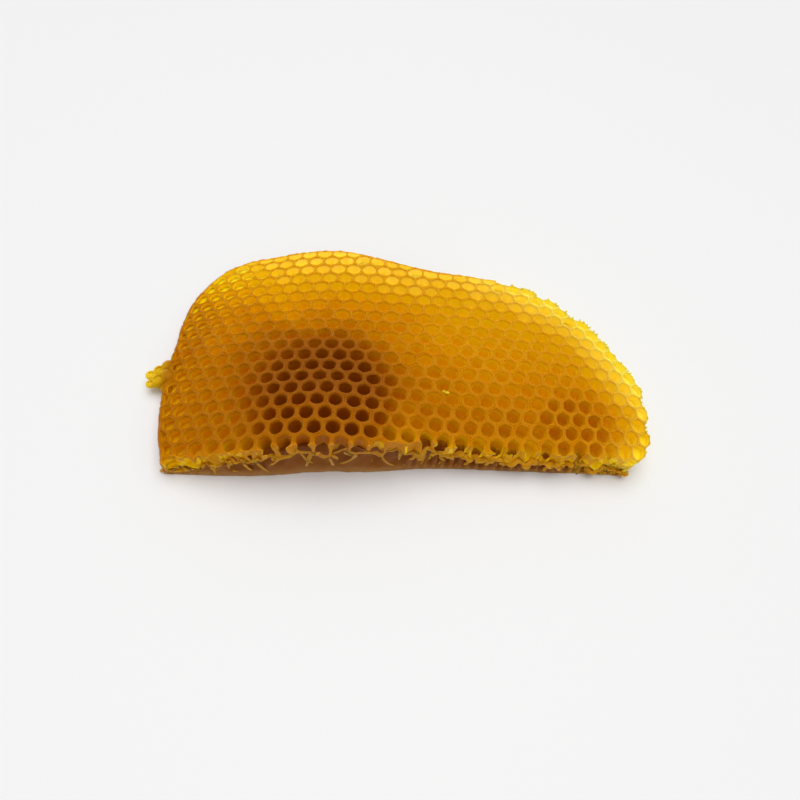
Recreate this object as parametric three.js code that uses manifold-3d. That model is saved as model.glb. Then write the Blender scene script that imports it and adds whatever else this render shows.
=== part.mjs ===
// A piece of natural honeycomb: empty beeswax comb, cut along one side and lying on one of its faces.
// Millimetres, +Z up. X runs along the cut side, which faces -Y. Z = 0 is the surface it lies on, and
// the origin is under the middle of the piece. Two layers of six-sided cells stand back to back on a
// shared midrib. The lower layer is set over by half a cell, so that three cells meet behind each one.

import * as THREE from 'three';
import Module from 'manifold-3d';

const wasm = await Module();
wasm.setup();

// ---- Driving dimensions -------------------------------------------------------------------------

const CELL_PITCH = 5.3; // from wall to wall of a worker cell
const ROW_PITCH = CELL_PITCH * Math.sqrt(3) / 2;
const CELL_RADIUS = CELL_PITCH / Math.sqrt(3);
const LIP = 0.9; // the thickened lip on top of each cell wall
const MIDRIB = 1.2; // wax left between the floors of the two layers
const FLOOR_SHRINK = 0.82; // size of a cell's floor against its mouth
const CELL_WOBBLE = 0.16; // how far a wall corner strays from the regular pattern

// Height of the upper face, which lies like a low arch with its ends on the table.
const CROWN = 14.3;
const LEFT_FALL = { height: 8.8, from: -19, over: 50, power: 1.5 };
const FAR_FALL = { height: 4.6, from: -4.4, over: 40, power: 0.8 };
const RIGHT_FALL = { height: 1.9, from: 40, over: 30, power: 2 };
const CUT_SWELL = { height: 5, x: -23.3, halfWidth: 25.5, y: -16.6, blend: 4.6 };
const CUT_SAG = { height: 5.3, from: -16.8, over: 28, power: 1.7, x: 17.2, blend: 4.7 };

// Thickness of the comb: thin along the growing rim, deep inside, and flat where it lies.
const RIM_DEPTH = 4.5;
const FULL_DEPTH = 20;
const RIM_TAPER = 16;
const LYING_BLEND = 2;
const RIM_ROLL = 0.5; // how far the outer lip of the rim is rounded down

// The flat pattern of cells as it drapes over the arch.
const FIRST_CELL = { x: -26.66, y: -21.59 };
const DRAPE = { x: 7, halfLength: 70, halfWidth: 45 };
const ROW_BOW = 1.4; // rows bend towards the cut at both ends
const ROW_CLOSING = 3.3; // and close up there, away from the cut
const END_SQUEEZE = 2.4; // columns close up at both ends
const COLUMN_LEAN = 1.2;
const COLUMN_SPREAD = 1.95;

// Natural rim of the piece, from the left end of the cut round to its right end.
const RIM_POINTS = [
  [-64, -43], [-67, -33], [-68.9, -23], [-70.4, -17.2], // left side
  [-74, -16.6], [-76.8, -12.8], [-74.6, -9], [-71, -7.6], // spur of new cells
  [-70.2, 0], [-70.4, 10], [-68.4, 21.2], [-62, 32.5], [-54, 38], // left lobe
  [-43, 40.5], [-31, 42.8], [-19, 43.2], [-7, 40.9], [3, 38],
  [14, 35.4], [24.5, 34.6], [35, 32], [45, 28], [55, 21.4], // dip and right lobe
  [64.5, 13.2], [71.6, 0], [76, -12], [76.7, -23], [74.4, -33], [70, -38.5],
];
const RIM_STEPS = 360;
const JAGGED_FROM = 36; // right of here the rim cells stand open and uneven
const JAGGED_PULL = 0.45;
// A cell is built when its middle is this far inside the rim.
const UPPER_MARGIN = 0.9;
const LOWER_MARGIN = 2.6;
const DISH_MARGIN = 6; // nearer the rim than this, a cell is a shallow dish

// The cut side.
const CUT = { y: -39.6, swing: 2.4, x: -6, over: 12 };
const CUT_ROUGHNESS = 0.8;
const KNIFE_STEP = 15; // between the turns of the cut edge
const TEAR_STEP = 22; // and of the tear under it
const LIP_DEPTH = 5.5; // height of the wall left standing over the torn lower layer
const RECESS = 2.4; // how far the lower layer is torn back
const SHRED = {
  every: 8, // wall ends from one shred to the next
  width: 0.8,
  thick: 1.1,
  inset: 0.5, // behind the cut edge
  root: 0.8, // how far it reaches up into the lip
  shortest: 1.5,
  longest: 5,
  lean: 0.9,
};
const OVERSHOOT = 16; // comb built past the cut before it is trimmed
const FAR_BELOW = -10;
const FAR_ABOVE = 40;

// ---- Small helpers ------------------------------------------------------------------------------

let randomState = 20117;
function random() {
  randomState = (randomState * 1664525 + 1013904223) % 4294967296;
  return randomState / 4294967296;
}

const spread = (amount) => (random() * 2 - 1) * amount;
const rise = (value) => 1 / (1 + Math.exp(-value));
const mix = (a, b, t) => a + (b - a) * t;

function fall(distance, { height, over, power }) {
  return height * Math.max(0, distance / over) ** power;
}

// ---- Shape of the piece -------------------------------------------------------------------------

function topHeight(x, y) {
  const swell = Math.exp(-(((x - CUT_SWELL.x) / CUT_SWELL.halfWidth) ** 2));
  return CROWN
    - fall(LEFT_FALL.from - x, LEFT_FALL)
    - fall(y - FAR_FALL.from, FAR_FALL)
    - fall(x - RIGHT_FALL.from, RIGHT_FALL)
    + CUT_SWELL.height * swell * rise((CUT_SWELL.y - y) / CUT_SWELL.blend)
    - fall(CUT_SAG.from - y, CUT_SAG) * rise((x - CUT_SAG.x) / CUT_SAG.blend);
}

const cutLine = (x) => CUT.y - CUT.swing * Math.tanh((CUT.x - x) / CUT.over);

// The rim as a fine polyline, closed by three straight lines past the cut.
function makeRim() {
  const first = RIM_POINTS[0];
  const last = RIM_POINTS[RIM_POINTS.length - 1];
  const points = [
    [first[0] + 1, first[1] - OVERSHOOT], ...RIM_POINTS, [last[0] - 2, last[1] - OVERSHOOT],
  ].map(([x, y]) => new THREE.Vector2(x, y));
  return new THREE.SplineCurve(points).getSpacedPoints(RIM_STEPS);
}

const rim = makeRim();

// Nearest place on the natural rim, its distance, and how far along the rim it is.
function nearestOnRim(x, y) {
  let best = { distance: Infinity };
  for (let n = 0; n + 1 < rim.length; n += 1) {
    const dx = rim[n + 1].x - rim[n].x;
    const dy = rim[n + 1].y - rim[n].y;
    const along = ((x - rim[n].x) * dx + (y - rim[n].y) * dy) / (dx * dx + dy * dy);
    const t = Math.min(1, Math.max(0, along));
    const px = rim[n].x + t * dx;
    const py = rim[n].y + t * dy;
    const distance = Math.hypot(x - px, y - py);
    if (distance < best.distance) best = { distance, x: px, y: py, along: n + t };
  }
  return best;
}

function insideRim(x, y) {
  let inside = false;
  for (let n = 0, m = rim.length - 1; n < rim.length; m = n, n += 1) {
    const crosses = (rim[n].y > y) !== (rim[m].y > y);
    const edgeX = mix(rim[n].x, rim[m].x, (y - rim[n].y) / (rim[m].y - rim[n].y));
    if (crosses && x < edgeX) inside = !inside;
  }
  return inside;
}

function bottomHeight(x, y) {
  const { distance } = nearestOnRim(x, y);
  const depth = RIM_DEPTH + (FULL_DEPTH - RIM_DEPTH) * (1 - Math.exp(-distance / RIM_TAPER));
  const free = topHeight(x, y) - depth;
  return free > 0 ? free * free / (free + LYING_BLEND) : 0;
}

const middleHeight = (x, y) => (topHeight(x, y) + bottomHeight(x, y)) / 2;

// ---- Pattern of cells ---------------------------------------------------------------------------

// Where a point of the flat pattern lies in plan.
function drape(u, v) {
  const a = (u - DRAPE.x) / DRAPE.halfLength;
  const b = v / DRAPE.halfWidth;
  return {
    x: u - END_SQUEEZE * a ** 3 + COLUMN_LEAN * b + COLUMN_SPREAD * a * b,
    y: v - ROW_BOW * a * a - ROW_CLOSING * a * a * b,
  };
}

// One layer of cells: corners shared by the cells, and each cell as six corners, anticlockwise.
function makeLayer(shiftU, shiftV, margin) {
  const corners = [];
  const cells = [];
  const known = new Map();

  function cornerAt(u, v) {
    const key = `${Math.round(u * 100)},${Math.round(v * 100)}`;
    if (!known.has(key)) {
      const place = drape(u, v);
      known.set(key, corners.length);
      corners.push({ x: place.x + spread(CELL_WOBBLE), y: place.y + spread(CELL_WOBBLE), uses: 0 });
    }
    return known.get(key);
  }

  for (let row = -10; row <= 20; row += 1) {
    for (let column = -30; column <= 30; column += 1) {
      const u = FIRST_CELL.x + shiftU + (column + (Math.abs(row) % 2) / 2) * CELL_PITCH;
      const v = FIRST_CELL.y + shiftV + row * ROW_PITCH;
      const middle = drape(u, v);
      if (insideRim(middle.x, middle.y) && nearestOnRim(middle.x, middle.y).distance > margin) {
        const cell = [];
        for (let k = 0; k < 6; k += 1) {
          const angle = Math.PI / 6 + k * Math.PI / 3;
          cell.push(cornerAt(u + CELL_RADIUS * Math.cos(angle), v + CELL_RADIUS * Math.sin(angle)));
        }
        cells.push(cell);
      }
    }
  }
  cells.forEach((cell) => cell.forEach((corner) => { corners[corner].uses += 1; }));
  const layer = { corners, cells, loop: findLoop(cells) };
  pullToRim(layer);
  return layer;
}

// Which cell has the edge from one corner to another.
function edgeOwners(cells) {
  const owners = new Map();
  cells.forEach((cell, index) => cell.forEach((corner, k) => {
    owners.set(`${corner},${cell[(k + 1) % 6]}`, { cell: index, k });
  }));
  return owners;
}

// The outer corners in order, anticlockwise.
function findLoop(cells) {
  const owners = edgeOwners(cells);
  const next = new Map();
  for (const key of owners.keys()) {
    const [from, to] = key.split(',').map(Number);
    if (!owners.has(`${to},${from}`)) next.set(from, to);
  }
  const start = next.keys().next().value;
  const loop = [start];
  for (let at = next.get(start); at !== start; at = next.get(at)) loop.push(at);
  return loop;
}

// Draws the outermost corners out, or in, to the rim: fully on the left, partly where it is jagged.
function pullToRim({ corners, loop }) {
  for (const index of loop) {
    const corner = corners[index];
    const target = nearestOnRim(corner.x, corner.y);
    const pull = corner.x > JAGGED_FROM ? JAGGED_PULL : 1;
    if (corner.y > cutLine(corner.x) - CELL_PITCH) {
      corner.x = mix(corner.x, target.x, pull);
      corner.y = mix(corner.y, target.y, pull);
    }
  }
}

// ---- The solid ----------------------------------------------------------------------------------

class MeshBuilder {
  constructor() {
    this.positions = [];
    this.triangles = [];
  }

  point(x, y, z) {
    this.positions.push(x, y, z);
    return this.positions.length / 3 - 1;
  }

  face(...corners) {
    for (let k = 1; k + 1 < corners.length; k += 1) {
      this.triangles.push(corners[0], corners[k], corners[k + 1]);
    }
  }

  solid() {
    return new wasm.Manifold(new wasm.Mesh({
      numProp: 3,
      vertProperties: new Float32Array(this.positions),
      triVerts: new Uint32Array(this.triangles),
    }));
  }
}

function middleOf(corners, cell) {
  const sum = cell.reduce((total, corner) => ({
    x: total.x + corners[corner].x / 6, y: total.y + corners[corner].y / 6,
  }), { x: 0, y: 0 });
  return sum;
}

// The upper layer: open cells with flat lips. Returns the outer points of the rim.
function addUpperLayer(builder, { corners, cells, loop }) {
  const owners = edgeOwners(cells);
  const outer = new Map(loop.map((index) => {
    const { x, y } = corners[index];
    return [index, builder.point(x, y, topHeight(x, y) - RIM_ROLL)];
  }));

  const mouths = cells.map((cell) => {
    const middle = middleOf(corners, cell);
    const open = 1 - LIP / CELL_PITCH;
    return cell.map((corner) => {
      const x = mix(middle.x, corners[corner].x, open);
      const y = mix(middle.y, corners[corner].y, open);
      return builder.point(x, y, topHeight(x, y));
    });
  });

  cells.forEach((cell, index) => {
    const mouth = mouths[index];
    addFloor(builder, corners, cell, mouth);
    for (let k = 0; k < 6; k += 1) {
      const from = cell[k];
      const to = cell[(k + 1) % 6];
      const other = owners.get(`${to},${from}`);
      if (!other) {
        builder.face(mouth[(k + 1) % 6], mouth[k], outer.get(from), outer.get(to));
      } else if (from < to) {
        const facing = mouths[other.cell];
        builder.face(mouth[(k + 1) % 6], mouth[k], facing[(other.k + 1) % 6], facing[other.k]);
      }
    }
  });
  addLipCorners(builder, cells, mouths, owners, outer);
  return loop.map((index) => outer.get(index));
}

// The walls and floor of one open cell: three-sided below, or a plain dish in the shallow rim cells.
function addFloor(builder, corners, cell, mouth) {
  const middle = middleOf(corners, cell);
  if (nearestOnRim(middle.x, middle.y).distance < DISH_MARGIN) {
    const { x, y } = middle;
    const dish = builder.point(x, y, middleHeight(x, y) + MIDRIB / 2);
    for (let k = 0; k < 6; k += 1) builder.face(mouth[k], mouth[(k + 1) % 6], dish);
    return;
  }
  const floors = cell.map((corner, k) => {
    if (k % 2) return -1;
    const x = mix(middle.x, corners[corner].x, FLOOR_SHRINK * (1 - LIP / CELL_PITCH));
    const y = mix(middle.y, corners[corner].y, FLOOR_SHRINK * (1 - LIP / CELL_PITCH));
    return builder.point(x, y, middleHeight(x, y) + MIDRIB / 2);
  });
  builder.face(floors[0], floors[2], floors[4]);
  for (let k = 0; k < 6; k += 1) {
    const after = (k + 1) % 6;
    const before = (k + 5) % 6;
    builder.face(mouth[k], mouth[after], floors[k % 2 ? after : k]);
    if (k % 2) builder.face(floors[before], mouth[k], floors[after]);
  }
}

// The small three-sided faces where three lips meet.
function addLipCorners(builder, cells, mouths, owners, outer) {
  const done = new Set();
  cells.forEach((cell, index) => cell.forEach((corner, k) => {
    if (done.has(corner)) return;
    // Walk clockwise round the corner to the first cell, then anticlockwise through them all.
    let first = { cell: index, k };
    for (let step = 0; step < 3; step += 1) {
      const here = cells[first.cell];
      const beyond = owners.get(`${here[(first.k + 1) % 6]},${here[first.k]}`);
      if (!beyond || beyond.cell === index) break;
      first = { cell: beyond.cell, k: (beyond.k + 1) % 6 };
    }
    const ring = [];
    for (let at = first; at && ring.length < 3;) {
      ring.push(mouths[at.cell][at.k]);
      const here = cells[at.cell];
      const beyond = owners.get(`${here[at.k]},${here[(at.k + 5) % 6]}`);
      at = beyond && { cell: beyond.cell, k: beyond.k };
    }
    if (outer.has(corner)) ring.push(outer.get(corner));
    if (ring.length > 2) builder.face(...ring);
    done.add(corner);
  }));
}

// The lower layer: cells that open downwards with sharp lips. Returns the outer points of the rim.
function addLowerLayer(builder, { corners, cells, loop }) {
  const points = corners.map(({ x, y }) => builder.point(x, y, bottomHeight(x, y)));
  for (const cell of cells) {
    const { x, y } = middleOf(corners, cell);
    const top = builder.point(x, y, middleHeight(x, y) - MIDRIB / 2);
    for (let k = 0; k < 6; k += 1) {
      builder.face(points[cell[(k + 1) % 6]], points[cell[k]], top);
    }
  }
  return loop.map((index) => points[index]);
}

// The outer wall between the two layers, closed along whichever side leaves the shorter edge.
function addRimWall(builder, tops, feet) {
  const gap = (top, foot) => Math.hypot(
    ...[0, 1, 2].map((axis) => builder.positions[3 * top + axis] - builder.positions[3 * foot + axis]),
  );
  const nearest = feet.reduce((best, foot) => (gap(tops[0], foot) < gap(tops[0], best) ? foot : best));
  const start = feet.indexOf(nearest);
  const topAt = (n) => tops[n % tops.length];
  const footAt = (n) => feet[(start + n) % feet.length];
  let top = 0;
  let foot = 0;
  while (top < tops.length || foot < feet.length) {
    const shorter = gap(topAt(top + 1), footAt(foot)) <= gap(topAt(top), footAt(foot + 1));
    if (foot >= feet.length || (top < tops.length && shorter)) {
      builder.face(footAt(foot), topAt(top + 1), topAt(top));
      top += 1;
    } else {
      builder.face(footAt(foot), footAt(foot + 1), topAt(top));
      foot += 1;
    }
  }
}

function makeComb(upper) {
  const lower = makeLayer(CELL_PITCH / 2, CELL_RADIUS / 2, LOWER_MARGIN);
  const builder = new MeshBuilder();
  const upperPoints = addUpperLayer(builder, upper);
  const lowerPoints = addLowerLayer(builder, lower);
  addRimWall(builder, upperPoints, lowerPoints);
  return builder.solid();
}

// A closed bar along X: each station gives its front and back edge and its lower and upper edge.
function makeBar(stations) {
  const builder = new MeshBuilder();
  const rings = stations.map(({ x, front, back, low, high }) => [
    builder.point(x, front, low), builder.point(x, back, low),
    builder.point(x, back, high), builder.point(x, front, high),
  ]);
  builder.face(...[...rings[0]].reverse());
  builder.face(...rings[rings.length - 1]);
  for (let n = 0; n + 1 < rings.length; n += 1) {
    for (let k = 0; k < 4; k += 1) {
      const after = (k + 1) % 4;
      builder.face(rings[n][k], rings[n][after], rings[n + 1][after], rings[n + 1][k]);
    }
  }
  return builder.solid();
}

// What the knife took away.
function makeKnife() {
  const stations = [];
  for (let x = -90; x <= 90; x += KNIFE_STEP) {
    const back = cutLine(x) + spread(CUT_ROUGHNESS);
    stations.push({ x, front: back - 60, back, low: FAR_BELOW, high: FAR_ABOVE });
  }
  return makeBar(stations);
}

// The lower layer that tore away further back, under the lip of the cut.
function makeTear() {
  const stations = [];
  for (let x = -90; x <= 90; x += TEAR_STEP) {
    const edge = cutLine(x);
    const lip = topHeight(x, edge) - LIP_DEPTH + spread(CUT_ROUGHNESS);
    const back = edge + RECESS + spread(CUT_ROUGHNESS);
    stations.push({ x, front: edge - 60, back, low: FAR_BELOW, high: Math.max(lip, FAR_BELOW + 1) });
  }
  return makeBar(stations);
}

// Where the walls of the upper cells meet the cut, from left to right.
function wallEnds({ corners, cells }) {
  const ends = [];
  cells.forEach((cell) => cell.forEach((corner, k) => {
    const from = corners[corner];
    const to = corners[cell[(k + 1) % 6]];
    const fromDepth = from.y - cutLine(from.x);
    const toDepth = to.y - cutLine(to.x);
    if (fromDepth > 0 && toDepth <= 0) ends.push(mix(from.x, to.x, fromDepth / (fromDepth - toDepth)));
  }));
  return ends.sort((a, b) => a - b);
}

// A shred of torn wall that hangs from the lip of the cut.
function makeShred(x) {
  const front = cutLine(x) + CUT_ROUGHNESS + SHRED.inset;
  const lip = topHeight(x, front) - LIP_DEPTH;
  const high = lip + CUT_ROUGHNESS + SHRED.root;
  const low = Math.max(lip - mix(SHRED.shortest, SHRED.longest, random()), CUT_ROUGHNESS);
  const station = (side) => ({
    x: x + side * SHRED.width / 2, front, back: front + SHRED.thick, low, high,
  });
  const lean = spread(SHRED.lean);
  return makeBar([station(-1), station(1)]).warp((point) => {
    const hang = (high - point[2]) / (high - low);
    point[0] += lean * hang;
    point[1] -= SHRED.lean * hang;
  });
}

function makeHoneycomb() {
  const upper = makeLayer(0, 0, UPPER_MARGIN);
  let comb = makeComb(upper).subtract(makeKnife()).subtract(makeTear());
  wallEnds(upper).forEach((x, index) => {
    if (index % SHRED.every === 0) comb = comb.add(makeShred(x));
  });
  const pieces = comb.decompose();
  const piece = pieces.reduce((largest, other) => (other.volume() > largest.volume() ? other : largest));
  const { min, max } = piece.boundingBox();
  return piece.translate([-(min[0] + max[0]) / 2, -(min[1] + max[1]) / 2, 0]);
}

function toGeometry(solid) {
  const { vertProperties, triVerts } = solid.getMesh();
  const geometry = new THREE.BufferGeometry();
  geometry.setAttribute('position', new THREE.BufferAttribute(vertProperties, 3));
  geometry.setIndex(new THREE.BufferAttribute(triVerts, 1));
  return geometry;
}

// ---- The part -----------------------------------------------------------------------------------

const honeycomb = new THREE.Mesh(
  toGeometry(makeHoneycomb()),
  new THREE.MeshStandardMaterial({ color: 0xc98a12, roughness: 0.45, metalness: 0 }),
);
honeycomb.name = 'honeycomb';

const part = new THREE.Group();
part.add(honeycomb);

export default part;
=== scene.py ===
"""The look of a piece of natural honeycomb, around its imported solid.

The empty comb is cut along its front and lies on one of its two faces. One six-sided cell is modelled by
hand tools, pressed into every place of the pattern on both faces, and the comb is then trimmed with a
knife and torn along the cut. Sizes are millimetres until a mesh is made, which is in metres.
"""

import logging
import math
from dataclasses import dataclass, field
from enum import Enum
from typing import Any

import bmesh
import bpy
import numpy as np
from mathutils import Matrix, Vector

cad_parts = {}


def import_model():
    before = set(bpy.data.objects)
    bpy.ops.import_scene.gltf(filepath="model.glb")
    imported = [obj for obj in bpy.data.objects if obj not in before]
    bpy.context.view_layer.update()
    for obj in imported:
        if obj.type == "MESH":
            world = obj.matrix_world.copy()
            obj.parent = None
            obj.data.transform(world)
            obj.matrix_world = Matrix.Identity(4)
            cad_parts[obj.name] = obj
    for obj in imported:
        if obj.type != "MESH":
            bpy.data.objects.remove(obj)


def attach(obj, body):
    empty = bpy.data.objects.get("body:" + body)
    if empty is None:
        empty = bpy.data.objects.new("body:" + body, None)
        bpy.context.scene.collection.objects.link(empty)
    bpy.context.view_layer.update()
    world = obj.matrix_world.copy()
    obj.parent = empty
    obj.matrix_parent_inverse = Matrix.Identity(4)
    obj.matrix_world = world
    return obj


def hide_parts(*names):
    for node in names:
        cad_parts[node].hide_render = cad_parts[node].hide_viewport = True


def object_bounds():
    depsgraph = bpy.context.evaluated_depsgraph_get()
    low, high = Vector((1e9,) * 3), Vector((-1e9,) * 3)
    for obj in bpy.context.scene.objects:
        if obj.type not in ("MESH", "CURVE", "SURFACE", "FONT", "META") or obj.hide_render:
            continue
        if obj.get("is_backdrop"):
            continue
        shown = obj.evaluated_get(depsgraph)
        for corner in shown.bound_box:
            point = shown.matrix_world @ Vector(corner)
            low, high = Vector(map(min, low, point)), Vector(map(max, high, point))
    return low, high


LOG = logging.getLogger("honeycomb")
MM = 0.001
NODE = "honeycomb"
BODY = "root"

Array = np.ndarray
Range = tuple[float, float]

PITCH = 5.3  # width of a cell from wall to wall, mm
SIDES = 6
RING = 2 * SIDES  # vertices in one turn of a cell: even at its corners, odd in the middle of its walls
RING_STEP = 360 / RING
SHIFT = np.array([-0.287, -0.535, 0.0])  # from the frame of the pattern to the shared one, mm
TINY = 1e-12  # stands for nothing where a number is divided by it
SEAM = 1e-6  # vertices nearer to each other than this become one, metres


# ---- Curves -------------------------------------------------------------------------------------


def rise(value: Array) -> Array:
    """Returns a smooth step from 0 to 1 about 0."""
    return 1.0 / (1.0 + np.exp(-value))


def bell(value: Array) -> Array:
    """Returns 1 at 0, falling smoothly to 0 on both sides."""
    return np.exp(-(value**2))


@dataclass(frozen=True)
class Ramp:
    """A smooth step from 0 to 1 along one direction.

    Args:
        at: where it is half way up, mm
        span: how slowly it rises, mm; it falls where this is negative
    """

    at: float
    span: float

    def share(self, place: Array) -> Array:
        """Returns how far up the step each place is."""
        return rise((place - self.at) / self.span)


@dataclass(frozen=True)
class Fall:
    """How far the sheet drops beyond a line.

    Args:
        height: drop at one span beyond the line, mm
        start: where the line is, mm
        span: length over which the drop is measured, mm
        power: how suddenly the drop sets in
    """

    height: float
    start: float
    span: float
    power: float

    def drop(self, beyond: Array) -> Array:
        """Returns the drop at these distances beyond the line."""
        return self.height * np.maximum(0.0, beyond / self.span) ** self.power


@dataclass(frozen=True)
class Waves:
    """A smooth random field over the piece: a sum of a few waves of about one length.

    Args:
        seed: seed of the draw
        length: typical wavelength, mm
        height: about how far the field goes from 0
        count: number of waves
        pace: least and most waves of each in one length
    """

    seed: int
    length: float
    height: float = 1.0
    count: int = 9
    pace: Range = (0.7, 1.5)

    def at(self, points: Array) -> Array:
        """Works out the field.

        Args:
            points: (..., 3) points, mm

        Returns:
            the field at each point
        """
        draw = np.random.default_rng(self.seed)
        way = draw.normal(size=(self.count, 3))
        way /= np.linalg.norm(way, axis=1)[:, None]
        steps = way * (2 * math.pi / self.length) * draw.uniform(*self.pace, (self.count, 1))
        phases = draw.uniform(0, 2 * math.pi, self.count)
        return self.height * (math.sqrt(2 / self.count) * np.sin(points @ steps.T + phases).sum(-1))


def on_face(x: Array, z: Array) -> Array:
    """Returns places along the cut as (..., 3) points, to read waves at."""
    return np.stack([x, np.zeros_like(x), z], -1)


# ---- Shape of the whole sheet -------------------------------------------------------------------


class Layer(Enum):
    """The two faces of the comb."""

    UPPER = 1
    LOWER = -1


@dataclass
class Rim:
    """The natural outline of the piece in plan, open towards the cut."""

    steps: int = 360
    steps_between: int = 20  # steps of the fine line from one point to the next
    overshoot: float = 16.0  # how far past the cut both ends reach
    first_lead: float = 1.0  # how far the first end leans to the right
    last_lead: float = -2.0
    points: tuple[Range, ...] = (
        (-65.4, -43), (-68.2, -33), (-69.9, -23), (-70.4, -16), (-70.6, -8),
        (-70.2, 0), (-70.4, 10), (-68.4, 21.2), (-62, 32.5), (-54, 38),
        (-43, 40.5), (-31, 42.8), (-19, 43.2), (-7, 40.9), (3, 38),
        (14, 35.4), (24.5, 34.6), (35, 32), (45, 28), (55, 21.4),
        (64.5, 13.2), (71.6, 0), (76, -12), (76.7, -23), (74.4, -33), (70, -38.5),
    )
    line: Array = field(init=False)

    def __post_init__(self) -> None:
        """Draws the outline as a fine line through its points."""
        first, last = self.points[0], self.points[-1]
        start = (first[0] + self.first_lead, first[1] - self.overshoot)
        end = (last[0] + self.last_lead, last[1] - self.overshoot)
        knots = np.array([start, *self.points, end], float)
        padded = np.vstack([knots[:1], knots, knots[-1:]])
        t = np.linspace(0, 1, self.steps_between, endpoint=False)[:, None]
        pieces = []
        for a, b, c, d in zip(padded, padded[1:], padded[2:], padded[3:]):
            bend = (c - a) / 2, (d - b) / 2
            pieces.append(
                (2 * b - 2 * c + bend[0] + bend[1]) * t**3
                + (-3 * b + 3 * c - 2 * bend[0] - bend[1]) * t**2 + bend[0] * t + b
            )
        fine = np.vstack([*pieces, knots[-1:]])
        reach = np.concatenate([[0], np.cumsum(np.hypot(*np.diff(fine, axis=0).T))])
        even = np.linspace(0, reach[-1], self.steps + 1)
        self.line = np.stack([np.interp(even, reach, fine[:, k]) for k in (0, 1)], 1)

    def nearest(self, places: Array) -> tuple[Array, Array]:
        """Finds the nearest point of the rim.

        Args:
            places: (n, 2) places in plan

        Returns:
            distances (n,) and the nearest points (n, 2)
        """
        start, along = self.line[:-1], np.diff(self.line, axis=0)
        share = ((places[:, None] - start) * along).sum(2) / (along**2).sum(1)
        feet = start + np.clip(share, 0, 1)[..., None] * along
        gaps = np.linalg.norm(places[:, None] - feet, axis=2)
        best = gaps.argmin(1)
        rows = np.arange(len(places))
        return gaps[rows, best], feet[rows, best]

    def holds(self, places: Array) -> Array:
        """Tells the places inside the rim from those outside.

        Args:
            places: (n, 2) places in plan

        Returns:
            whether each is inside
        """
        a, b = self.line, np.roll(self.line, 1, axis=0)
        x, y = places[:, :1], places[:, 1:]
        climb = np.where(b[:, 1] == a[:, 1], TINY, b[:, 1] - a[:, 1])
        edge = a[:, 0] + (b[:, 0] - a[:, 0]) * (y - a[:, 1]) / climb
        return (((a[:, 1] > y) != (b[:, 1] > y)) & (x < edge)).sum(1) % 2 == 1


@dataclass
class Sheet:
    """The low arch that the comb lies in, its thickness, and the line of the cut."""

    rim: Rim
    crown: float = 14.3
    left: Fall = Fall(8.8, -19, 50, 1.5)
    far: Fall = Fall(4.6, -4.4, 40, 0.8)
    right: Fall = Fall(1.9, 40, 30, 2)
    swell_height: float = 5.0
    swell_x: float = -23.3
    swell_half_width: float = 25.5
    swell_front: Ramp = Ramp(-16.6, -4.6)
    sag: Fall = Fall(5.3, -16.8, 28, 1.7)
    sag_side: Ramp = Ramp(17.2, 4.7)
    rim_depth: float = 4.5
    full_depth: float = 20.0
    rim_taper: float = 16.0
    lying_blend: float = 2.0
    lean: float = 0.7  # how far the cells turn with the slope of the sheet
    slope_reach: float = 3.0  # the slope is evened out over this far on both sides
    rounds: int = 4  # how often upright mends its guess
    cut_y: float = -39.6
    cut_bend: float = 2.4
    cut_bend_x: float = -6.0
    cut_bend_span: float = 12.0

    def top(self, x: Array, y: Array) -> Array:
        """Works out the height of the upper lips.

        Args:
            x: places along the cut, mm
            y: places away from it, mm

        Returns:
            the height at each place
        """
        swell = bell((x - self.swell_x) / self.swell_half_width)
        return (
            self.crown
            - self.left.drop(self.left.start - x)
            - self.far.drop(y - self.far.start)
            - self.right.drop(x - self.right.start)
            + self.swell_height * swell * self.swell_front.share(y)
            - self.sag.drop(self.sag.start - y) * self.sag_side.share(x)
        )

    def bottom(self, x: Array, y: Array) -> Array:
        """Works out the height of the lower lips, flat where they lie on the table.

        Args:
            x: places along the cut, mm
            y: places away from it, mm

        Returns:
            the height at each place
        """
        distance, _ = self.rim.nearest(np.stack([x, y], 1))
        grown = 1 - np.exp(-distance / self.rim_taper)
        free = self.top(x, y) - self.rim_depth - (self.full_depth - self.rim_depth) * grown
        return np.where(free > 0, free**2 / (np.abs(free) + self.lying_blend), 0.0)

    def leaned(self, points: Array) -> Array:
        """Turns upright cells square to the sheet.

        Args:
            points: (n, 3) points of upright cells

        Returns:
            the points (n, 3), moved sideways the more the deeper they are
        """
        x, y, z = points.T
        reach = self.slope_reach
        along_x = (self.top(x + reach, y) - self.top(x - reach, y)) / (2 * reach)
        along_y = (self.top(x, y + reach) - self.top(x, y - reach)) / (2 * reach)
        below = self.lean * (self.top(x, y) - z)
        return np.stack([x + below * along_x, y + below * along_y, z], 1)

    def upright(self, points: Array) -> Array:
        """Undoes leaned, for points that were cut after it.

        Args:
            points: (n, 3) points of leaned cells

        Returns:
            the points (n, 3) of the upright cells
        """
        guess = points.copy()
        for _ in range(self.rounds):
            guess[:, :2] += points[:, :2] - self.leaned(guess)[:, :2]
        return guess

    def cut_line(self, x: Array) -> Array:
        """Returns how far back the knife ran."""
        return self.cut_y - self.cut_bend * np.tanh((self.cut_bend_x - x) / self.cut_bend_span)


# ---- Pattern of cells ---------------------------------------------------------------------------


@dataclass
class Dice:
    """A seeded run of random numbers."""

    state: int = 20117
    factor: int = 1664525
    step: int = 1013904223
    span: int = 2**32

    def roll(self) -> float:
        """Returns the next number from 0 to 1."""
        self.state = (self.state * self.factor + self.step) % self.span
        return self.state / self.span

    def spread(self, amount: float) -> float:
        """Returns the next number from -amount to amount."""
        return (self.roll() * 2 - 1) * amount


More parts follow.
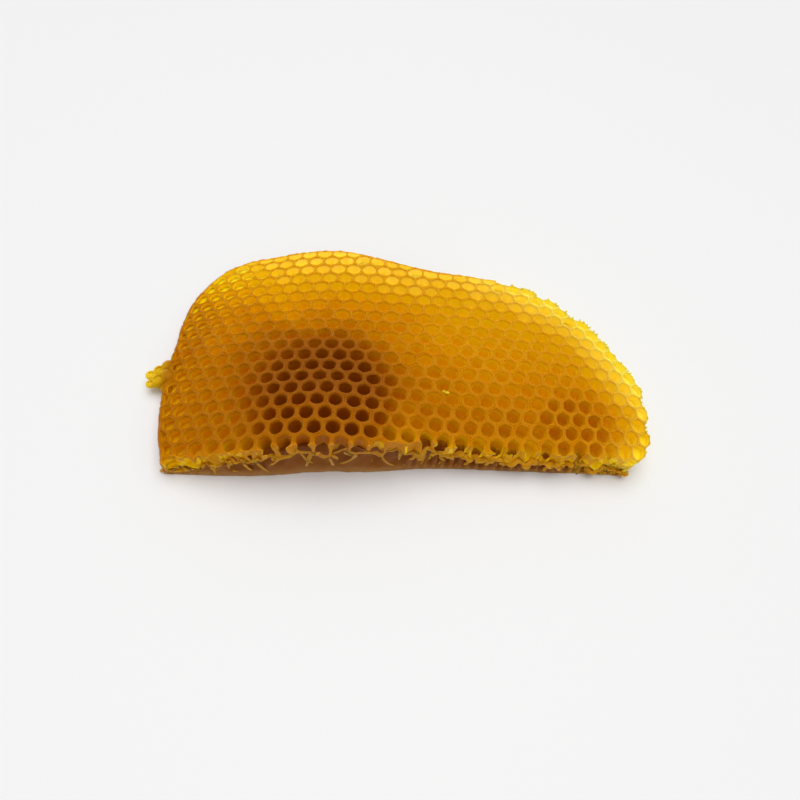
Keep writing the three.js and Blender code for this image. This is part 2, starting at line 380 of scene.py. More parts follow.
@dataclass(frozen=True)
class Drape:
    """How the flat pattern of cells is drawn over the piece.

    Args:
        middle: where it lies as it is, mm
        half_length: half the length of the piece, mm
        half_width: half its width, mm
        squeeze: how far both ends are drawn in along the piece, mm
        slant: how far the far side is drawn to the right, mm
        twist: how much farther it is drawn there at the right end, mm
        bow: how far both ends are drawn towards the cut, mm
        narrowing: how much farther they are drawn at the far side, mm
    """

    middle: float = 7.0
    half_length: float = 70.0
    half_width: float = 45.0
    squeeze: float = 2.4
    slant: float = 1.2
    twist: float = 1.95
    bow: float = 1.4
    narrowing: float = 3.3

    def place(self, u: float, v: float) -> Range:
        """Works out where a point of the flat pattern lies.

        Args:
            u: its place along the piece, mm
            v: its place across the piece, mm

        Returns:
            its x and y in plan, mm
        """
        a, b = (u - self.middle) / self.half_length, v / self.half_width
        x = u - self.squeeze * a**3 + self.slant * b + self.twist * a * b
        return x, v - self.bow * a * a - self.narrowing * a * a * b


@dataclass
class Pattern:
    """The cells of one layer in plan: shared corners, and twelve boundary points to each cell."""

    sheet: Sheet
    dice: Dice
    layer: Layer
    drape: Drape = Drape()
    margin: float = -0.7  # how far inside the rim a cell's middle has to be
    first_x: float = -26.66
    first_y: float = -21.59
    rows: range = range(-10, 21)
    columns: range = range(-30, 31)
    wobble: float = 0.16
    keys: int = 100  # steps in a millimetre: corners on the same step are one
    jagged: Ramp = Ramp(36.0, 3.0)  # where the rim begins to be jagged
    jagged_pull: float = 0.45
    border: float = 0.8  # width of the smooth outer lip beyond the rim cells
    border_jagged: float = 0.3
    least_gap: float = 1e-6
    relaxing: float = 0.5
    relax_reach: float = 7.0
    relax_rounds: int = 16
    corners: Array = field(init=False)
    cells: Array = field(init=False)
    rings: Array = field(init=False)
    walls: Array = field(init=False)
    points: Array = field(init=False)
    loop: list[int] = field(init=False)

    def __post_init__(self) -> None:
        """Lays out the cells, finds the outer loop and draws it to the rim."""
        self._lay_out()
        self._find_points()
        self._pull_to_rim()
        self._relax()

    def _lay_out(self) -> None:
        """Makes the corners and the cells."""
        radius, row_pitch = PITCH / math.sqrt(3), PITCH * math.sqrt(3) / 2
        over = (0.0, 0.0) if self.layer is Layer.UPPER else (PITCH / 2, radius / 2)
        rows, columns = np.meshgrid(self.rows, self.columns, indexing="ij")
        flat_u = self.first_x + over[0] + (columns + (abs(rows) % 2) / 2) * PITCH
        flat_v = self.first_y + over[1] + rows * row_pitch
        middles = np.array([self.drape.place(u, v) for u, v in zip(flat_u.ravel(), flat_v.ravel())])
        gaps, _ = self.sheet.rim.nearest(middles)
        kept = np.where(self.sheet.rim.holds(middles), gaps, -gaps) > self.margin
        known: dict[tuple[int, int], int] = {}
        corners, cells = [], []
        for u, v in zip(flat_u.ravel()[kept], flat_v.ravel()[kept]):
            cell = []
            for k in range(SIDES):
                angle = math.pi / 6 + k * math.pi / 3
                cu, cv = u + radius * math.cos(angle), v + radius * math.sin(angle)
                key = (round(cu * self.keys), round(cv * self.keys))
                if key not in known:
                    x, y = self.drape.place(cu, cv)
                    known[key] = len(corners)
                    corners.append((x + self.dice.spread(self.wobble), y + self.dice.spread(self.wobble)))
                cell.append(known[key])
            cells.append(cell)
        self.corners, self.cells = np.array(corners), np.array(cells)

    def _find_points(self) -> None:
        """Adds a point in the middle of each wall, and follows the outer walls round."""
        middles: dict[tuple[int, int], int] = {}
        walks, rings = [], []
        for cell in self.cells:
            ring = []
            for k in range(SIDES):
                a, b = int(cell[k]), int(cell[(k + 1) % SIDES])
                walks.append((a, b))
                key = (min(a, b), max(a, b))
                middles.setdefault(key, len(self.corners) + len(middles))
                ring += [a, middles[key]]
            rings.append(ring)
        self.rings = np.array(rings)
        self.walls = np.array(list(middles))
        self.points = np.vstack([self.corners, self.corners[self.walls].mean(1)])
        walked = set(walks)
        after = {a: b for a, b in walks if (b, a) not in walked}
        start = next(iter(after))
        self.loop, here = [], start
        while True:
            there = after[here]
            self.loop += [here, middles[min(here, there), max(here, there)]]
            here = there
            if here == start:
                break

    def _pull_to_rim(self) -> None:
        """Draws the outer points to the rim, fully on the left and partly where it is jagged."""
        outer = np.array(self.loop)
        places = self.points[outer]
        gaps, feet = self.sheet.rim.nearest(places)
        inward = self.sheet.rim.holds(places)
        pull = 1 + (self.jagged_pull - 1) * self.jagged.share(places[:, 0])
        away = (places - feet) / np.maximum(gaps, self.least_gap)[:, None]
        inner = feet + np.where(inward, 1, -1)[:, None] * away * self.border_at(places[:, 0])[:, None]
        near = places[:, 1] > self.sheet.cut_line(places[:, 0]) - PITCH
        mixed = places + (inner - places) * pull[:, None]
        self.points[outer] = np.where(near[:, None], mixed, places)

    def _relax(self) -> None:
        """Spreads the squeeze of the rim cells over the rows behind them."""
        count = len(self.corners)
        pairs = np.vstack([self.walls, self.walls[:, ::-1]])
        near = np.bincount(pairs[:, 0], minlength=count)[:, None]
        gaps, _ = self.sheet.rim.nearest(self.points[:count])
        share = self.relaxing * bell(gaps / self.relax_reach)[:, None]
        share[[place for place in self.loop if place < count]] = 0
        for _ in range(self.relax_rounds):
            total = np.zeros((count, 2))
            np.add.at(total, pairs[:, 0], self.points[pairs[:, 1]])
            self.points[:count] += share * (total / near - self.points[:count])
        inner = np.setdiff1d(np.arange(len(self.walls)), [v - count for v in self.loop if v >= count])
        self.points[count + inner] = self.points[self.walls[inner]].mean(1)

    def border_at(self, x: Array) -> Array:
        """Returns the width of the smooth outer lip at places along the cut."""
        return self.border + (self.border_jagged - self.border) * self.jagged.share(x)

    @property
    def middles(self) -> Array:
        """The middle of each cell in plan."""
        return self.points[self.rings].mean(1)


# ---- Tools for meshes ---------------------------------------------------------------------------


def deselect_all() -> None:
    """Leaves nothing selected, in object mode."""
    if bpy.context.object and bpy.context.object.mode != "OBJECT":
        bpy.ops.object.mode_set(mode="OBJECT")
    bpy.ops.object.select_all(action="DESELECT")


def make_active(piece: bpy.types.Object) -> None:
    """Selects one object alone and makes it the active one.

    Args:
        piece: the object
    """
    deselect_all()
    piece.select_set(True)
    bpy.context.view_layer.objects.active = piece


def mesh_object(name: str, points: Array, faces: list[list[int]]) -> bpy.types.Object:
    """Makes an object from points in millimetres.

    Args:
        name: name of the object and its mesh
        points: (n, 3) points, mm
        faces: corners of each face, anticlockwise from outside

    Returns:
        the new object, selected and active
    """
    mesh = bpy.data.meshes.new(name)
    mesh.from_pydata((np.asarray(points) * MM).tolist(), [], faces)
    mesh.update()
    piece = bpy.data.objects.new(name, mesh)
    bpy.context.scene.collection.objects.link(piece)
    make_active(piece)
    return piece


def new_grid(name: str, columns: int, rows: int) -> tuple[bpy.types.Object, Array, Array]:
    """Models a flat grid, to be bent into shape.

    Args:
        name: name of the object
        columns: number of vertices along it
        rows: number of vertices across it

    Returns:
        the object, and how far along and across it each vertex is, from 0 to 1
    """
    deselect_all()
    bpy.ops.mesh.primitive_grid_add(x_subdivisions=columns - 1, y_subdivisions=rows - 1, size=2)
    grid = bpy.context.object
    grid.name = name
    flat = np.array([vert.co for vert in grid.data.vertices], float)
    return grid, (flat[:, 0] + 1) / 2, (flat[:, 1] + 1) / 2


def close_grid(piece: bpy.types.Object, back: float = 0.0) -> None:
    """Closes a bent grid and turns its faces outwards.

    Args:
        piece: the object
        back: how far along Y its copy goes to make a thick sheet, mm, or 0 to seam a tube
    """
    bpy.ops.object.mode_set(mode="EDIT")
    bpy.ops.mesh.select_all(action="SELECT")
    if back:
        bpy.ops.mesh.extrude_region_move(TRANSFORM_OT_translate={"value": (0, back * MM, 0)})
        bpy.ops.mesh.select_all(action="SELECT")
    else:
        bpy.ops.mesh.remove_doubles(threshold=SEAM)
    bpy.ops.mesh.normals_make_consistent(inside=False)
    bpy.ops.object.mode_set(mode="OBJECT")


def points_of(piece: bpy.types.Object) -> Array:
    """Reads the vertices of a mesh object.

    Args:
        piece: the object

    Returns:
        (n, 3) points, mm
    """
    flat = np.empty(len(piece.data.vertices) * 3, np.float32)
    piece.data.vertices.foreach_get("co", flat)
    return flat.reshape(-1, 3).astype(float) / MM


def move_points(piece: bpy.types.Object, points: Array) -> None:
    """Puts the vertices of a mesh object at these points, mm."""
    piece.data.vertices.foreach_set("co", (points * MM).astype(np.float32).ravel())
    piece.data.update()


def combine(piece: bpy.types.Object, other: bpy.types.Object, operation: str) -> None:
    """Joins the other's volume to the piece or takes it away, and removes the other.

    Args:
        piece: the object that stays
        other: the object that goes
        operation: UNION or DIFFERENCE
    """
    make_active(piece)
    modifier = piece.modifiers.new("Boolean", "BOOLEAN")
    modifier.operation, modifier.object, modifier.solver = operation, other, "MANIFOLD"
    bpy.ops.object.modifier_apply(modifier=modifier.name)
    bpy.data.objects.remove(other)


def keep_largest(piece: bpy.types.Object) -> int:
    """Deletes the loose scraps beside the main body.

    Args:
        piece: the object

    Returns:
        how many scraps there were
    """
    work = bmesh.new()
    work.from_mesh(piece.data)
    work.verts.ensure_lookup_table()
    unseen, islands = set(work.verts), []
    while unseen:
        seed = unseen.pop()
        island, front = [seed], [seed]
        while front:
            for edge in front.pop().link_edges:
                for vert in edge.verts:
                    if vert in unseen:
                        unseen.discard(vert)
                        island.append(vert)
                        front.append(vert)
        islands.append(island)
    islands.sort(key=len)
    scraps = [vert for island in islands[:-1] for vert in island]
    bmesh.ops.delete(work, geom=scraps, context="VERTS")
    work.to_mesh(piece.data)
    work.free()
    return len(islands) - 1


def write_marks(piece: bpy.types.Object, **marks: Array) -> None:
    """Stores numbers at the vertices for the finish to read.

    Args:
        piece: the object
        marks: one number for each vertex, under the name that the finish reads
    """
    for name, values in marks.items():
        layer = piece.data.attributes.new(name, "FLOAT", "POINT")
        layer.data.foreach_set("value", values.astype(np.float32))


def dress(piece: bpy.types.Object, material: bpy.types.Material, crease: float) -> None:
    """Gives a piece one finish.

    Args:
        piece: the object
        material: its finish
        crease: edges sharper than this stay sharp, degrees
    """
    piece.data.materials.clear()
    piece.data.materials.append(material)
    piece.data.polygons.foreach_set("material_index", [0] * len(piece.data.polygons))
    make_active(piece)
    bpy.ops.object.shade_smooth_by_angle(angle=math.radians(crease))


def ring_places(points: Array) -> Array:
    """Returns the place of each point in its turn of a cell, from 0 at the first corner."""
    turns = (np.degrees(np.arctan2(points[:, 1], points[:, 0])) - RING_STEP) % 360
    return np.round(turns / RING_STEP).astype(int) % RING


# ---- One cell -----------------------------------------------------------------------------------


@dataclass(frozen=True)
class Step:
    """One turn of a cell's inner surface: its depth and its half width at walls and at corners, mm."""

    depth: float
    at_wall: float
    at_corner: float


@dataclass
class CellMould:
    """One regular cell, with a rounded lip, flat walls and a floor of three rhombs."""

    steps: tuple[Step, ...] = (
        Step(0.05, 2.38, 2.62),
        Step(0.35, 2.04, 2.08),
        Step(0.90, 1.96, 1.96),
        Step(2.80, 2.32, 2.52),
        Step(8.00, 2.50, 2.84),
    )
    lip_zone: float = 2.2  # the cell keeps its shape down to here, whatever its depth
    rhomb: float = 1.08  # how far the floor's middle is below the deep corners
    shallow: int = 0  # 0 where the even corners are shallow, 1 where the odd ones are
    middle_reach: float = 0.1  # the vertex nearer the axis than this is the floor's middle

    def model(self) -> bpy.types.Object:
        """Models the cell with its mouth at z = 0.

        Returns:
            the object, in millimetres
        """
        deselect_all()
        radius = PITCH / math.sqrt(3)
        bpy.ops.mesh.primitive_circle_add(
            vertices=RING, radius=radius, fill_type="NOTHING", rotation=(0, 0, math.pi / SIDES)
        )
        cell = bpy.context.object
        cell.name = "cell_mould"
        bpy.ops.object.transform_apply(location=True, rotation=True, scale=True)
        bpy.ops.object.mode_set(mode="EDIT")
        bpy.ops.mesh.select_mode(type="VERT")
        self._size_ring(cell, PITCH / 2 / radius, 1.0)
        last = Step(0.0, PITCH / 2, radius)
        for step in self.steps:
            bpy.ops.mesh.extrude_region_move(
                TRANSFORM_OT_translate={"value": (0, 0, last.depth - step.depth)}
            )
            self._size_ring(cell, step.at_wall / last.at_wall, step.at_corner / last.at_corner)
            last = step
        bpy.ops.mesh.edge_face_add()
        bpy.ops.mesh.poke()
        self._shape_floor(cell)
        bpy.ops.mesh.select_all(action="SELECT")
        bpy.ops.mesh.normals_make_consistent(inside=True)
        bpy.ops.object.mode_set(mode="OBJECT")
        return cell

    @staticmethod
    def _ring(cell: bpy.types.Object) -> dict[int, tuple[int, float]]:
        """Reads the selected ring.

        Args:
            cell: the mould, in edit mode

        Returns:
            the place of each selected vertex in its turn, and its half width
        """
        work = bmesh.from_edit_mesh(cell.data)
        chosen = [vert for vert in work.verts if vert.select]
        places = ring_places(np.array([vert.co for vert in chosen]))
        return {
            vert.index: (int(place), math.hypot(vert.co.x, vert.co.y))
            for vert, place in zip(chosen, places)
        }

    @staticmethod
    def _select(cell: bpy.types.Object, indices: list[int]) -> None:
        """Selects some vertices alone, and the edges between them.

        Args:
            cell: the mould, in edit mode
            indices: numbers of the vertices
        """
        work = bmesh.from_edit_mesh(cell.data)
        work.verts.ensure_lookup_table()
        bpy.ops.mesh.select_all(action="DESELECT")
        for index in indices:
            work.verts[index].select_set(True)
        work.select_flush(True)
        bmesh.update_edit_mesh(cell.data)

    def _size_ring(self, cell: bpy.types.Object, wall: float, corner: float) -> None:
        """Resizes the selected ring apart at walls and corners.

        Args:
            cell: the mould, in edit mode with one ring selected
            wall: factor at the middles of the walls
            corner: factor at the corners
        """
        places = {index: place for index, (place, _) in self._ring(cell).items()}
        for odd, factor in ((1, wall), (0, corner)):
            self._select(cell, [index for index, place in places.items() if place % 2 == odd])
            bpy.ops.transform.resize(value=(factor, factor, 1), center_override=(0, 0, 0))
        self._select(cell, list(places))

    def _shape_floor(self, cell: bpy.types.Object) -> None:
        """Sinks the middle of the floor and lifts every other corner, which makes three rhombs.

        Args:
            cell: the mould, in edit mode with its floor selected
        """
        lifts: dict[int, float] = {}
        for index, (place, across) in self._ring(cell).items():
            if across < self.middle_reach:
                lifts[index] = -self.rhomb
            elif place % 2 == 0:
                lifts[index] = self.rhomb if (place // 2) % 2 == self.shallow else 0.0
            else:
                lifts[index] = self.rhomb / 2
        for lift in sorted(set(lifts.values())):
            self._select(cell, [index for index, height in lifts.items() if height == lift])
            bpy.ops.transform.translate(value=(0, 0, lift))


@dataclass
class PressedLayer:
    """The mould pressed into every cell of one layer."""

    pattern: Pattern
    mould: CellMould
    seed: int
    midrib: float = 0.7
    lip_rise: float = 0.16  # how far the corners of the lips stand above the walls between them
    lip_drop: float = 0.25  # how far the lips stay under the outer surface
    unevenness: float = 0.12
    roughness: float = 0.035
    mouth_spread: float = 0.022  # how unlike each other the cells are in width
    below_lip: float = 0.95  # turns narrower than this share of the cell take that width
    throat: float = 0.82  # turns narrower than this share are wider in new wax
    thin_lips: float = 0.2  # by how much
    shallow_rim: float = 0.45  # how much shallower the cells are along the jagged rim
    shallow_reach: float = 3.5
    least_stretch: float = 0.02
    touching: Range = (1e-4, 1e-3)  # a vertex this near the mouth's height and edge is on the lip

    def press(self, cell: bpy.types.Object) -> tuple[Array, list[list[int]]]:
        """Fits the modelled cell to each cell of the pattern.

        Args:
            cell: the object that the mould made

        Returns:
            points (n, 3) of upright cells in mm, and faces
        """
        rest = np.array([vert.co for vert in cell.data.vertices], float)
        places = ring_places(rest)
        across = np.hypot(rest[:, 0], rest[:, 1])
        full = np.where(places % 2 == 0, PITCH / math.sqrt(3), PITCH / 2)
        lip = (rest[:, 2] > -self.touching[0]) & (np.abs(across - full) < self.touching[1])
        inner = np.flatnonzero(~lip)
        draw = np.random.default_rng(self.seed)
        plan = self._plan(places[inner], across[inner] / full[inner], draw)
        depth = self._depth(-rest[inner, 2])
        level = self._level(plan.reshape(-1, 2)).reshape(depth.shape)
        sign = self.pattern.layer.value
        inside = np.concatenate([plan, (level - sign * depth)[..., None]], 2).reshape(-1, 3)
        points = np.vstack([self._lips(draw), inside])
        if self.pattern.layer is Layer.LOWER:
            points[:, 2] = np.maximum(points[:, 2], 0)
        index = np.empty(len(rest), int)
        faces = []
        for number, ring in enumerate(self.pattern.rings):
            index[lip] = ring[places[lip]]
            index[inner] = len(self.pattern.points) + number * len(inner) + np.arange(len(inner))
            for face in cell.data.polygons:
                corners = [int(index[v]) for v in face.vertices]
                faces.append(corners if sign > 0 else corners[::-1])
        return points, faces

    def _plan(self, places: Array, sizes: Array, draw: np.random.Generator) -> Array:
        """Places the turns below the lips in plan.

        Args:
            places: place of each vertex in its turn
            sizes: its half width, as a share of the cell's
            draw: the layer's random numbers

        Returns:
            (cells, vertices, 2) places, mm
        """
        middles = self.pattern.middles
        new_wax = Ageing(self.pattern.sheet).new_wax(*middles.T)[:, None]
        mouths = 1 + draw.normal(0, self.mouth_spread, (len(middles), 1)) * (sizes < self.below_lip)
        mouths += self.thin_lips * new_wax * (sizes < self.throat)
        spokes = self.pattern.points[self.pattern.rings][:, places] - middles[:, None]
        plan = middles[:, None] + spokes * (sizes * mouths)[..., None]
        return plan + draw.normal(0, self.roughness, plan.shape)

    def _depth(self, down: Array) -> Array:
        """Fits the depth of the mould to the thickness of the comb.

        Args:
            down: depth of each vertex in the mould, mm

        Returns:
            (cells, vertices) depths, mm
        """
        sheet, middles = self.pattern.sheet, self.pattern.middles
        gaps, _ = sheet.rim.nearest(middles)
        half = (sheet.top(*middles.T) - sheet.bottom(*middles.T)) / 2 - self.midrib / 2
        jagged = self.pattern.jagged.share(middles[:, 0])
        half *= 1 - self.shallow_rim * jagged * bell(gaps / self.shallow_reach)
        zone = self.mould.lip_zone
        stretch = np.maximum(self.least_stretch, (half - zone) / (self.mould.steps[-1].depth - zone))
        near_lip = np.minimum(down, zone) * np.minimum(1, half / zone)[:, None]
        return near_lip + np.maximum(down - zone, 0) * stretch[:, None]

    def _lips(self, draw: np.random.Generator) -> Array:
        """Places the shared points of the lips.

        Args:
            draw: the layer's random numbers

        Returns:
            (n, 3) points, mm
        """
        shared = self.pattern.points
        corner = np.arange(len(shared)) < len(self.pattern.corners)
        bump = draw.normal(0, self.unevenness, len(shared)) + np.where(corner, self.lip_rise, 0)
        bump = np.minimum(bump - self.lip_drop, 0)
        return np.column_stack([shared, self._level(shared) + self.pattern.layer.value * bump])

    def _level(self, places: Array) -> Array:
        """Returns the height of this layer's lips at places in plan."""
        sheet = self.pattern.sheet
        return (sheet.top if self.pattern.layer is Layer.UPPER else sheet.bottom)(*places.T)


# ---- The cut and the comb -----------------------------------------------------------------------


@dataclass
class Cut:
    """The knife's rough cut along the front, the lip below it, and the tear behind that."""

    sheet: Sheet
    knife_swing: Waves = Waves(3, 9, 0.4)
    knife_teeth: Waves = Waves(4, 3.5)
    teeth: float = 0.2
    end_teeth: float = 0.25  # how much more ragged the cut is beside the middle
    teeth_right: Ramp = Ramp(0.0, 5.0)
    teeth_left: Ramp = Ramp(-38.0, -4.0)
    knife_lean: float = 0.06
    lip_depth: float = 5.5
    lip_least: float = 0.6
    lip_swing: Waves = Waves(10, 6, 0.3)
    scallop: float = 1.3  # how far the lip arches up between the cell walls of the right half
    scallop_swing: Waves = Waves(12, 11, 0.4)
    scallop_right: Ramp = Ramp(2.0, 2.0)
    right_drop: float = 0.3  # how much lower the lip is at the right end
    right_end: Ramp = Ramp(56.0, 3.0)
    left_drop: float = 0.6
    left_end: Ramp = Ramp(-60.0, -2.0)
    least_recess: float = 0.5  # how far the torn wax is behind the cut
    recess: float = 2.0  # how much farther it is in the middle of the left half
    recess_x: float = -21.0
    recess_half_width: float = 13.0
    recess_end: Ramp = Ramp(-50.0, -2.0)  # left of here the torn wax is level with the cut
    tear_lean: float = 0.12
    tear_swing: Waves = Waves(8, 7, 0.3)
    tear_teeth: Waves = Waves(9, 3, 0.2)
    tear_foot: float = 4.0  # the tear gets smoother from this height down to the table
    foot_swing: float = 0.15  # how much of its swing is left at the table

    def knife_face(self, x: Array, z: Array) -> Array:
        """Works out how far back the knife's cut is.

        Args:
            x: places along the cut, mm
            z: heights, mm

        Returns:
            the y of the cut, mm
        """
        places = on_face(x, z)
        teeth = self.teeth + self.end_teeth * (self.teeth_right.share(x) + self.teeth_left.share(x))
        rough = self.knife_swing.at(places) + teeth * self.knife_teeth.at(places)
        return self.sheet.cut_line(x) + rough + self.knife_lean * z

    def tear_face(self, x: Array, z: Array) -> Array:
        """Works out how far back the wax is torn away below the lip, smooth at the table.

        Args:
            x: places along the cut, mm
            z: heights, mm

        Returns:
            the y of the torn wax, mm
        """
        places = on_face(x, z)
        ragged = self.tear_swing.at(places) + self.tear_teeth.at(places)
        ragged = ragged * np.clip(z / self.tear_foot, self.foot_swing, 1)
        most = bell((x - self.recess_x) / self.recess_half_width)
        lean = self.tear_lean * np.clip(z, 0, None)
        least = self.least_recess * (1 - self.recess_end.share(x))
        return self.sheet.cut_line(x) + least + self.recess * most + lean + ragged

    def lip_height(self, x: Array) -> Array:
        """Works out where the cut stops and the tear begins.

        Args:
            x: places along the cut, mm

        Returns:
            the height there, mm
        """
        places = on_face(x, np.zeros_like(x))
        fall = self.lip_depth - self.lip_swing.at(places)
        height = self.sheet.top(x, self.sheet.cut_line(x)) - fall
        arches = np.abs(np.sin(math.pi * x / PITCH)) - 0.5
        height += self.scallop * self.scallop_right.share(x) * arches * (1 + self.scallop_swing.at(places))
        height *= 1 - self.right_drop * self.right_end.share(x)
        return np.maximum(height * (1 - self.left_drop * self.left_end.share(x)), self.lip_least)


@dataclass
class Comb:
    """Both layers of cells and the rim, trimmed along the cut and torn below it."""

    sheet: Sheet
    cut: Cut
    rounding: tuple[Range, ...] = (
        (0.4, 0.03), (0.8, 0.10), (1.0, 0.25),
    )  # steps round the rim, as shares of its border outwards and of its height downwards
    skin: float = 0.3  # how far behind the cut the wax looks cut
    # the depth mark sets how much painted light a place shows, the brighter deep colour and the glow; these
    # fields stretch it
    deep_wax: float = 8.0  # thinner comb than this looks as deep as this, mm
    clear_wax: float = 1.2  # how much sooner new wax looks deep below its lips, painting light over its shaded upper walls
    clear_age: float = 1.6  # how soon it does so with age
    bare_age: float = 0.48
    bare_depth: float = 0.9  # how deep the bare wax beside the middle looks, which paints on a glow for light through it
    bare_right: Ramp = Ramp(6.0, 3.0)
    bare_left: Ramp = Ramp(-38.0, -3.0)
    bare_left_share: float = 0.8
    blade_half_length: float = 90.0
    blade_columns: int = 241
    blade_back: float = -60.0  # how far in front of the cut the blades reach
    knife_low: float = -10.0
    knife_high: float = 40.0
    knife_rows: int = 13
    tear_rows: int = 9
    crease: float = 50.0
    seeds: tuple[int, int] = (5, 6)  # of the upper and the lower layer
    tint_seed: int = 11
    upper: Pattern = field(init=False)
    lower: Pattern = field(init=False)
    piece: bpy.types.Object = field(init=False)

    def __post_init__(self) -> None:
        """Lays out both layers of cells."""
        dice = Dice()
        self.upper = Pattern(self.sheet, dice, Layer.UPPER)
        self.lower = Pattern(self.sheet, dice, Layer.LOWER)

    def build(self, box: Array) -> bpy.types.Object:
        """Models the comb.

        Args:
            box: the two corners that it stays between, mm

        Returns:
            the finished object
        """
        points, faces, loops = np.empty((0, 3)), [], []
        for shallow, (pattern, seed) in enumerate(zip((self.upper, self.lower), self.seeds)):
            mould = CellMould(shallow=shallow)
            cell = mould.model()
            more, cups = PressedLayer(pattern, mould, seed).press(cell)
            bpy.data.objects.remove(cell)
            faces += [[v + len(points) for v in cup] for cup in cups]
            loops.append([v + len(points) for v in pattern.loop])
            points = np.vstack([points, more])
            LOG.info("%s layer: %d cells", pattern.layer.name.lower(), len(pattern.rings))
        points, faces = self._close_rim(points, faces, *loops)
        self.piece = mesh_object("comb", self.sheet.leaned(points), faces)
        self._trim()
        self._write_marks()
        dress(self.piece, WaxFinish().material(), self.crease)
        move_points(self.piece, np.clip(points_of(self.piece) + SHIFT, *box))
        return self.piece

    def _write_marks(self) -> None:
        """Writes the age, the depth below the lips and the tint of each cell on the mesh."""
        cut = points_of(self.piece)
        bare = cut[:, 1] < self.cut.knife_face(cut[:, 0], cut[:, 2]) + self.skin
        torn = cut[:, 1] < self.cut.tear_face(cut[:, 0], cut[:, 2]) + self.skin
        bare |= torn & (cut[:, 2] < self.cut.lip_height(cut[:, 0]) + self.skin)
        points = self.sheet.upright(cut)
        x, y, z = points.T
        top, bottom = self.sheet.top(x, y), self.sheet.bottom(x, y)
        above = z > (top + bottom) / 2
        ageing = Ageing(self.sheet)
        age = ageing.age(x, y)
        # depth is how far down the painted deep colour and glow reach: none on the smooth rim, more in thin
        # and in new wax
        depth = np.where(above, top - z, z - bottom) * (1 - ageing.rim(x, y))
        depth *= np.maximum(1, self.deep_wax / np.maximum(top - bottom, 1))
        depth *= 1 + self.clear_wax * np.clip(self.clear_age * (1 - age), 0, 1)
        bright = self.bare_right.share(x) + self.bare_left_share * self.bare_left.share(x)
        tint = np.zeros(len(points))
        draw = np.random.default_rng(self.tint_seed)
        for pattern, mine in ((self.upper, above), (self.lower, ~above)):
            tints = draw.uniform(-1, 1, len(pattern.rings))
            gaps = np.linalg.norm(points[mine, None, :2] - pattern.middles, axis=2)
            tint[mine] = tints[gaps.argmin(1)]
        # shine gives the painted glow to the upper layer only, so the lower layer stays without it
        write_marks(
            self.piece, age=age, lip_age=np.where(bare, self.bare_age, ageing.lip_age(x, y)),
            lemon=ageing.lemon(x, y), depth=np.where(bare, self.bare_depth * bright, depth),
            shine=above.astype(float), tint=tint,
        )

    def _close_rim(
        self, points: Array, faces: list[list[int]], top: list[int], foot: list[int]
    ) -> tuple[Array, list[list[int]]]:
        """Rounds the outer wall from the upper lips down to the lower ones.

        Args:
            points: points of both layers
            faces: faces of both layers
            top: outer loop of the upper layer, anticlockwise
            foot: outer loop of the lower layer, anticlockwise

        Returns:
            all points and faces of the closed body
        """
        rings, faces = [points], list(faces)
        count = len(points)
        ends = []
        for loop, sign in ((top, 1), (foot, -1)):
            base = points[loop]
            outward = self._outward(base)
            border = self.upper.border_at(base[:, 0])
            tall = self.sheet.top(*base[:, :2].T) - self.sheet.bottom(*base[:, :2].T)
            before = loop
            for out, down in self.rounding:
                ring = base.copy()
                ring[:, :2] += outward * (border * out)[:, None]
                ring[:, 2] -= sign * down * tall
                rings.append(ring)
                here = list(range(count, count + len(ring)))
                count += len(ring)
                for k in range(len(ring)):
                    after = (k + 1) % len(ring)
                    face = [before[k], here[k], here[after], before[after]]
                    faces.append(face if sign > 0 else face[::-1])
                before = here
            ends.append(before)
        everything = np.vstack(rings)
        faces += self._zip(everything, *ends)
        return everything, faces

    @staticmethod
    def _outward(ring: Array) -> Array:
        """Works out which way is outwards.

        Args:
            ring: (n, 3) points of an anticlockwise ring

        Returns:
            the outward direction in plan at each point, (n, 2)
        """
        along = np.roll(ring, -2, axis=0) - np.roll(ring, 2, axis=0)
        out = np.stack([along[:, 1], -along[:, 0]], 1)
        return out / np.linalg.norm(out, axis=1)[:, None]

    @staticmethod
    def _zip(points: Array, tops: list[int], feet: list[int]) -> list[list[int]]:
        """Closes the wall between two rings along whichever side leaves the shorter edge.

        Args:
            points: all points
            tops: the upper ring
            feet: the lower ring

        Returns:
            the faces of the wall
        """
        start = int(np.linalg.norm(points[feet] - points[tops[0]], axis=1).argmin())
        last_top, last_foot = len(tops), len(feet)
        tops = tops + tops[:2]
        feet = feet[start:] + feet[:start]
        feet = feet + feet[:2]
        faces, top, foot = [], 0, 0
        while top < last_top or foot < last_foot:
            by_top = np.linalg.norm(points[tops[top + 1]] - points[feet[foot]])
            by_foot = np.linalg.norm(points[tops[top]] - points[feet[foot + 1]])
            if foot >= last_foot or (top < last_top and by_top <= by_foot):
                faces.append([feet[foot], tops[top + 1], tops[top]])
                top += 1
            else:
                faces.append([feet[foot], feet[foot + 1], tops[top]])
                foot += 1
        return faces

    def _blade(self, name: str, back: Array, high: Array, x: Array) -> bpy.types.Object:
        """Makes a cutter that reaches from a rough back wall out to the front.

        Args:
            name: name of the cutter
            back: (columns, rows) how far back the wall is, mm
            high: upper edge at each column, mm
            x: place of each column, mm

        Returns:
            the cutter
        """
        columns, rows = back.shape
        blade, along, across = new_grid(name, columns, rows)
        column = np.round(along * (columns - 1)).astype(int)
        row = np.round(across * (rows - 1)).astype(int)
        share = row / (rows - 1)
        height = self.knife_low * (1 - share) + high[column] * share
        move_points(blade, np.column_stack([x[column], back[column, row], height]))
        close_grid(blade, self.blade_back)
        return blade

